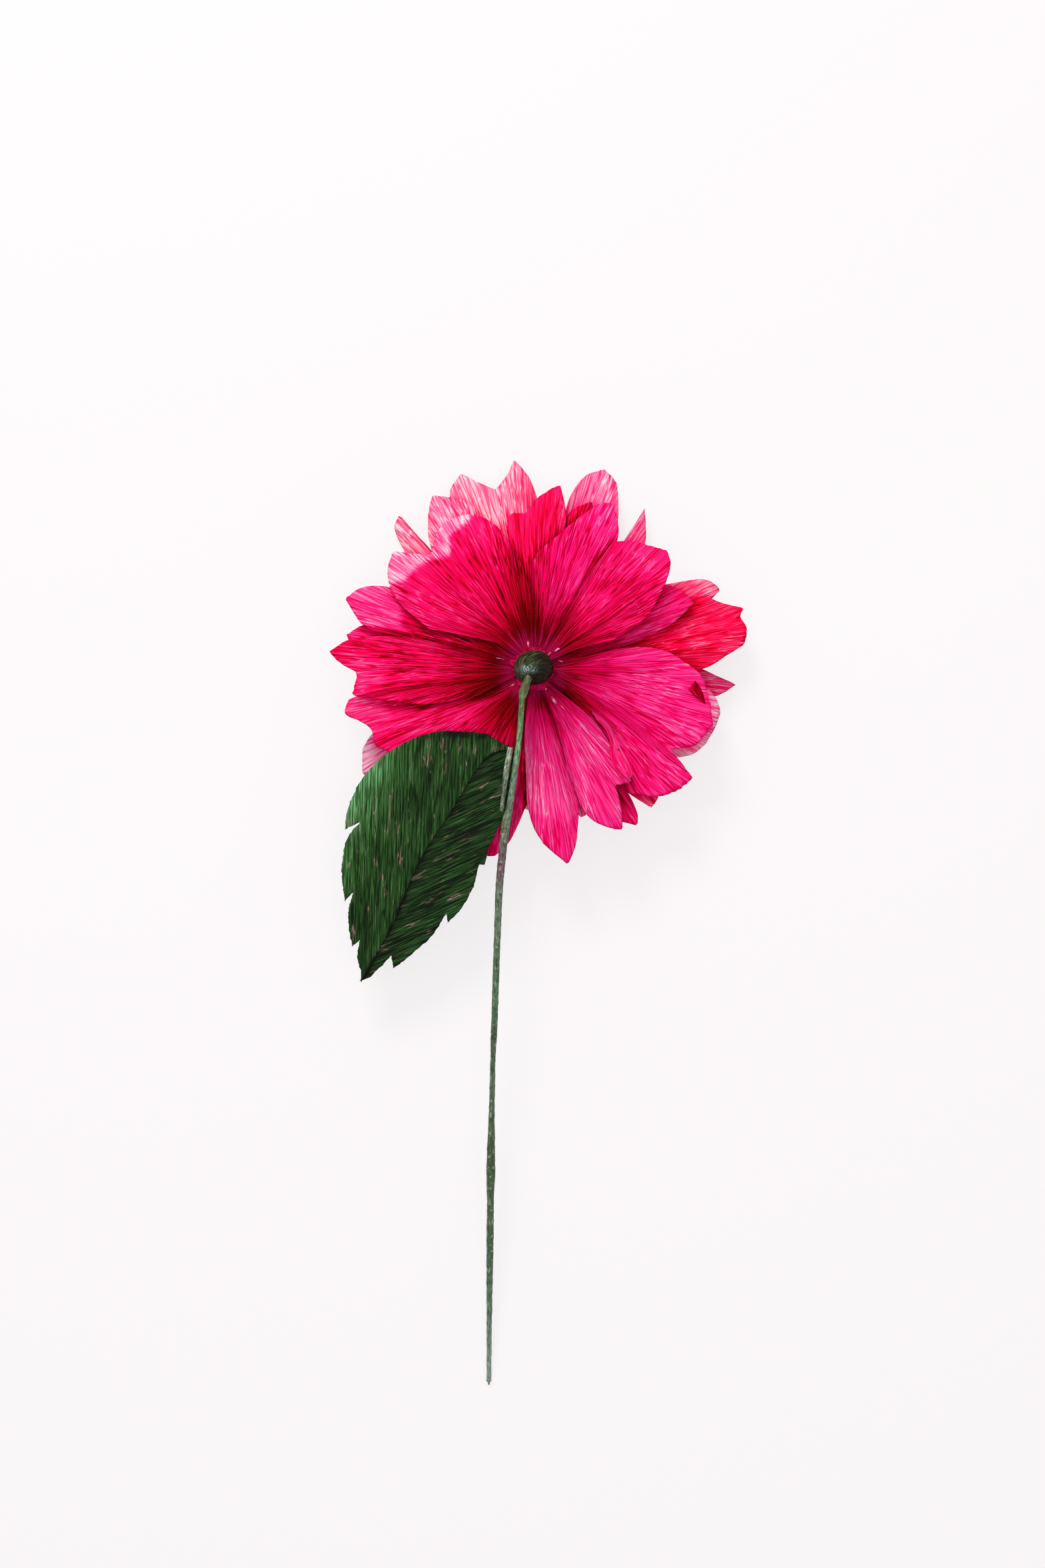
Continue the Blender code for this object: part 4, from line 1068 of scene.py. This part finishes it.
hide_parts("stem_wrap")
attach(stem, "root")

steel, tree, drawn, shell = flecked(
    "florist_wire", 2500.0, 3.0, ((0.35, "#6f7173"), (0.6, "#a3a6a8")), {"Metallic": 1.0})
dull = add_node(tree, "ShaderNodeMapRange", {"To Min": 0.2, "To Max": 0.5}, {"Value": drawn})
tree.links.new(dull.outputs[0], shell.inputs["Roughness"])
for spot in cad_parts["stem_wire"].material_slots:
    spot.material = steel

# Leaf stalk
#
# The leaf's own wire in whitish green tape, tied in beside the stem. Its paper lies in long
# creases, with bare pale streaks.

STALK_ROUTE_MM = (
    (-9.3, -31.5, 4.1), (-10.2, -37.0, 3.4), (-11.2, -43.0, 3.0), (-12.0, -50.0, 2.7),
    (-12.9, -57.0, 2.5),
)
STALK_DIAMETERS_MM = ((31.5, 2.4), (42.0, 2.5), (48.0, 1.8), (57.0, 1.6))
STALK_COLOURS = ((31.0, "#a3b09a"), (38.0, "#8a967f"), (46.0, "#6f806a"), (57.0, "#5d6f58"))
stalk_route = [(x * MM, y * MM, z * MM) for x, y, z in STALK_ROUTE_MM]
stalk_tape = paper_tape("pale_stalk_tape", 0.65, 0.9, "#6d5052")
stalk = taped_wire("leaf_stalk_tape", stalk_route, 120, 20, STALK_DIAMETERS_MM, STALK_COLOURS,
                   slack=0.05, lap_height=0.0, lumps=((0.12, 7, 6.0, 71),),
                   girth_mm=7.0, tape=stalk_tape)
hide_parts("leaf_stalk")
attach(stalk, "root")

# Leaf
#
# Two pieces of dark green crepe glued along the midrib, each cut with its grain another way:
# upright on the left, slanting on the right. Cut teeth along the edge, and scuffs where the dye
# has rubbed off to a pinkish brown.

LEAF_PAPER = 0.4 * MM
LEAF_BASE_MM = (-9.3, -32.0)
LEAF_HEADING = math.radians(237.3)
LEAF_RISE_MM = 2.2
LEAF_FALL = 0.16
LEAF_ROOF = 0.08
LEAF_GRID_MM = 1.1
LEAF_CUT_JAG_MM = 0.12
TUCK_MM = 0.8
TUCK_DROP_MM = 0.5
LEAF_PLEAT_MM = 0.22
LEAF_CREASE_MM = 0.14
# Painted light towards the cut edge, and painted shadow beside the midrib
EDGE_LIGHT_FROM_MM = 18.0
EDGE_LIGHT_OVER_MM = 18.0
RIB_SHADE = 0.9
RIB_WIDTH_MM = 1.2
GLUED_FROM_MM = 54.0
HEM_MIDDLE_MM = (6.0, 22.5)
HEM_REACH_MM = 11.5
HEM_WIDTH_MM = 2.2
MIDRIB_MM = (
    (0.0, 0.0), (6.0, 5.5), (11.0, 6.7), (20.0, 7.0), (33.0, 6.6), (54.0, 6.8), (63.0, 6.0),
    (74.0, 4.0), (86.0, 2.0), (100.0, 1.0), (113.0, 0.0),
)
LEFT_EDGE_MM = (
    (0.0, 11.0), (4.0, 19.0), (9.0, 27.0), (16.0, 34.0), (24.0, 39.0), (33.0, 42.5), (42.0, 44.0),
    (51.0, 43.5), (60.0, 41.0), (63.5, 39.0), (58.0, 35.5), (66.0, 36.3), (72.0, 34.5),
    (79.0, 31.0), (85.0, 26.5), (88.5, 23.5), (83.0, 22.5), (89.0, 21.0), (95.0, 17.5),
    (102.5, 11.0), (98.5, 9.8), (104.0, 7.5), (109.0, 3.0),
)
RIGHT_EDGE_MM = (
    (109.0, -2.0), (97.0, -4.5), (101.0, -8.0), (92.0, -11.0), (81.0, -14.0), (70.0, -14.0),
    (73.0, -16.5), (66.0, -18.0), (56.0, -17.5), (46.0, -14.5), (45.0, -16.5), (38.0, -14.0),
    (29.0, -13.0), (19.0, -12.0), (9.0, -7.0), (1.0, -2.0),
)


def leaf_half(name, edge, tuck, grain_degrees, seed, material):
    """A sheet cut to its edge and the midrib, filled with a fine mesh and hung from the midrib.

    Height falls evenly down the leaf and away from the midrib, with creases along the grain. A
    tucked sheet runs under the other one at the midrib.
    """
    rib, _ = soft_curve(np.array(MIDRIB_MM, dtype=float) + (0.0, tuck), 6)
    rim, _ = soft_curve(np.array(edge, dtype=float), 9, 40.0)
    noise = np.random.default_rng(seed)
    rim = rim + noise.normal(0.0, LEAF_CUT_JAG_MM, rim.shape)
    loop = np.vstack((rib[::-1] if edge[0][0] < edge[-1][0] else rib, rim))
    low, high = loop.min(axis=0), loop.max(axis=0)
    x, y = np.meshgrid(*(np.arange(low[k], high[k], LEAF_GRID_MM) for k in (0, 1)))
    spots = per_point(x, y) + noise.uniform(-0.25, 0.25, (x.size, 2))
    keep = inside_share(spots[:, 0], spots[:, 1], loop, 1.4) > 0.99
    points = np.vstack((loop, spots[keep]))
    edges = [(k, (k + 1) % len(loop)) for k in range(len(loop))]
    flat, _, faces, _, _, _ = delaunay_2d_cdt(points.tolist(), edges, [], 1, 1e-5)
    flat = np.array([tuple(spot) for spot in flat])
    along, across = flat[:, 0], flat[:, 1]
    ahead = np.array((math.cos(LEAF_HEADING), math.sin(LEAF_HEADING)))
    sideways = np.array((ahead[1], -ahead[0]))
    plan = np.array(LEAF_BASE_MM) + along[:, None] * ahead + across[:, None] * sideways
    middle = np.array(MIDRIB_MM)
    away = np.abs(across - np.interp(along, middle[:, 0], middle[:, 1]))
    fan = math.radians(grain_degrees)
    grain_u = plan[:, 0] * math.sin(fan) - plan[:, 1] * math.cos(fan)
    grain_v = plan[:, 0] * math.cos(fan) + plan[:, 1] * math.sin(fan)
    height = LEAF_RISE_MM - LEAF_FALL * along - LEAF_ROOF * away
    height = height - (TUCK_DROP_MM if tuck else 0.0) * np.exp(-away / 2.0)
    loose = np.clip(away / 3.0, 0.25, 1.0)
    height = height + loose * LEAF_PLEAT_MM * ripple(grain_u, grain_v, 2.4, 22.0, seed + 1)
    height = height + loose * LEAF_CREASE_MM * ripple(grain_u, grain_v, 1.2, 9.0, seed + 2)
    verts = np.column_stack((plan, height)) * MM
    uv = per_point(grain_u, grain_v)
    # Painted light on the outer part of the leaf, towards the cut edge where it curves to the light
    bright = np.clip((away - EDGE_LIGHT_FROM_MM) / EDGE_LIGHT_OVER_MM, 0.0, 1.0)
    bright = bright * np.clip((along - 8.0) / 26.0, 0.0, 1.0)
    # Painted shadow on the tucked half beside the midrib, under the other half's edge
    rib_shadow = RIB_SHADE * np.exp(-away / RIB_WIDTH_MM) if tuck else 0.0
    # Dark along a hem of the cut edge, and in patches of glue down the lower midrib
    hemmed = rim[np.linalg.norm(rim - HEM_MIDDLE_MM, axis=1) < HEM_REACH_MM]
    dark = np.zeros(len(flat))
    if len(hemmed):
        from_hem = np.linalg.norm(flat[:, None] - hemmed, axis=2).min(axis=1)
        streaks = np.clip(0.85 + 1.6 * ripple(grain_u, grain_v, 2.6, 30.0, 310), 0.35, 1.0)
        dark = np.clip((HEM_WIDTH_MM + 0.5 - from_hem) / 0.6, 0.0, 1.0) * streaks
    glued = np.exp(-(away / 0.9) ** 2) * np.clip((along - GLUED_FROM_MM) / 8.0, 0.0, 1.0)
    patches = np.clip(0.3 + 1.6 * ripple(across, along, 9.0, 3.1, 309), 0.0, 1.0)
    tint = per_point(bright, rib_shadow, np.maximum(dark, glued * patches))
    a, b, c = (verts[[face[k] for face in faces]] for k in range(3))
    up = np.cross(b - a, c - a)[:, 2]
    faces = [face if rise > 0.0 else face[::-1] for face, rise in zip(faces, up)]
    made = make_mesh(name, verts, faces, material, uv, tint)
    thicken(made, LEAF_PAPER, 0.0)
    return made


def leaf_crepe(name, shades, groove_depth):
    """Matt dark green crepe, with painted light towards the cut edge and fine creases and grooves
    along the grain whose colour follows their height, with painted shade in the grooves. Scuffed to
    pinkish brown, darker along the hem and in patches of glue, and with painted shadow beside the
    midrib."""
    made, tree, out = new_material(name)
    edge, rib, hem = tint_shares(tree)
    fine = grain_noise(tree, 0.55, 12.0, 3.0)
    pleat = grain_noise(tree, 1.6, 32.0, 2.0)
    groove = grain_lines(tree, 1.3, 26.0, 0.08)
    scuff = grain_lines(tree, 0.9, 11.0, 0.06)
    scuffed_at = grain_noise(tree, 3.6, 14.0, 3.0)
    # The colour follows the creases' height: painted shade in the grooves, painted light on the
    # crests, and painted light towards the cut edge
    place = add_node(tree, "ShaderNodeMath", {"operation": "ADD", 1: 0.1}, {0: fine})
    place = plus_patterns(
        tree, place, ((fine, -0.4), (pleat, 0.22), (edge, 0.2), (groove, -groove_depth)))
    green = add_node(tree, "ShaderNodeValToRGB", {"stops": shades}, {0: place})
    patch = add_node(tree, "ShaderNodeMapRange", {
        "interpolation_type": "SMOOTHSTEP", "From Min": 0.56, "From Max": 0.7, "To Max": 0.9,
    }, {"Value": scuffed_at})
    wear_and_sheen = add_node(tree, "ShaderNodeMath", {"operation": "MULTIPLY"}, {0: scuff, 1: patch})
    rubbed = add_node(tree, "ShaderNodeMix", {"data_type": "RGBA", 7: "#a47c78"},
                      {0: wear_and_sheen, 6: green})
    # Darker along the hem and in glue patches; the rib share is painted shadow beside the midrib
    shade = add_node(tree, "ShaderNodeMath", {"operation": "ADD"}, {0: hem, 1: rib})
    shade = add_node(tree, "ShaderNodeMath", {"operation": "MULTIPLY", 1: 0.94}, {0: shade})
    shaded = add_node(tree, "ShaderNodeMix", {"data_type": "RGBA", 7: "#080b02"},
                      {0: shade, 6: rubbed.outputs[2]})
    height = plus_patterns(tree, fine, ((pleat, 1.4), (groove, -0.4)))
    sheet, _ = creased_shell(tree, shaded.outputs[2], height, strength=0.9, depth_mm=0.8,
                             roughness=0.6, specular=0.1)
    tree.links.new(sheet.outputs[0], out.inputs[0])
    return made


upright_crepe = leaf_crepe("upright_green_crepe", (
    (0.32, "#031001"), (0.42, "#0e2606"), (0.52, "#214018"), (0.62, "#365e2e"),
    (0.76, "#66a06b")), 0.12)
slanted_crepe = leaf_crepe("slanted_green_crepe", (
    (0.34, "#030d01"), (0.44, "#0d2106"), (0.53, "#1c3a14"), (0.63, "#31572a"),
    (0.76, "#66905c")), 0.16)
left_half = leaf_half("leaf_left_crepe", LEFT_EDGE_MM, 0.0, 88.0, 301, upright_crepe)
right_half = leaf_half("leaf_right_crepe", RIGHT_EDGE_MM, TUCK_MM, 24.0, 302, slanted_crepe)
for piece, name in ((left_half, "leaf_left_half"), (right_half, "leaf_right_half")):
    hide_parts(name)
    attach(piece, "root")

# Floor, light and camera
#
# A white sweep under a broad soft box overhead and a smaller one from the top left, which casts
# the shadows that fall down and to the right. The camera looks straight down on the flower.

FLOOR_REACH = 4.0
FLOOR_LEVEL = -0.2 * MM
floor_mesh = bpy.data.meshes.new("floor")
floor_mesh.from_pydata([
    (x * FLOOR_REACH, y * FLOOR_REACH, FLOOR_LEVEL) for x, y in ((-1, -1), (1, -1), (1, 1), (-1, 1))
], [], [(0, 1, 2, 3)])
floor = add_object("floor", floor_mesh)
white_paper, tree, out = new_material("white_backdrop")
shell = add_node(tree, "ShaderNodeBsdfPrincipled", {
    "Base Color": "#e0dbdc", "Roughness": 0.9, "Specular IOR Level": 0.0,
})
glow = add_node(tree, "ShaderNodeEmission", {"Color": "#fbf8f9"})
path = add_node(tree, "ShaderNodeLightPath")
seen = add_node(tree, "ShaderNodeMath", {"operation": "MULTIPLY", 1: 0.8}, {0: path})
mixed = add_node(tree, "ShaderNodeMixShader", None, {0: seen, 1: shell, 2: glow})
tree.links.new(mixed.outputs[0], out.inputs[0])
floor_mesh.materials.append(white_paper)


def soft_box(name, place, size, watts):
    """A square area light that looks at the flower's head."""
    lamp = bpy.data.lights.new(name, "AREA")
    lamp.size = size
    lamp.energy = watts
    made = add_object(name, lamp)
    spot = np.array(place)
    away = spot / np.linalg.norm(spot)
    made.location = AXIS + spot
    made.rotation_euler = (math.acos(away[2]), 0.0, math.atan2(away[1], away[0]) + math.pi / 2.0)


soft_box("key_soft_box", (-0.35, 0.95, 1.0), 0.45, 15.5)
soft_box("overhead_soft_box", (0.0, -0.05, 1.6), 1.3, 11.0)

world = bpy.data.worlds.new("studio")
bpy.context.scene.world = world
world.use_nodes = True
tree = world.node_tree
tree.nodes.clear()
path = add_node(tree, "ShaderNodeLightPath")
dim = add_node(tree, "ShaderNodeBackground", {"Color": "#ffffff", "Strength": 0.58})
bright = add_node(tree, "ShaderNodeBackground", {"Color": "#fafafa", "Strength": 1.0})
mixed = add_node(tree, "ShaderNodeMixShader", None, {0: path, 1: dim, 2: bright})
add_node(tree, "ShaderNodeOutputWorld", None, {"Surface": mixed})
bpy.context.scene.view_settings.view_transform = "Standard"

lens = bpy.data.cameras.new("camera")
lens.lens = 50.0
lens.sensor_width = 36.0
lens.clip_start = 0.01
camera = add_object("camera", lens)
camera.location = AXIS + np.array((-4.5, -46.1, 873.0)) * MM
bpy.context.scene.camera = camera

bpy.context.view_layer.update()
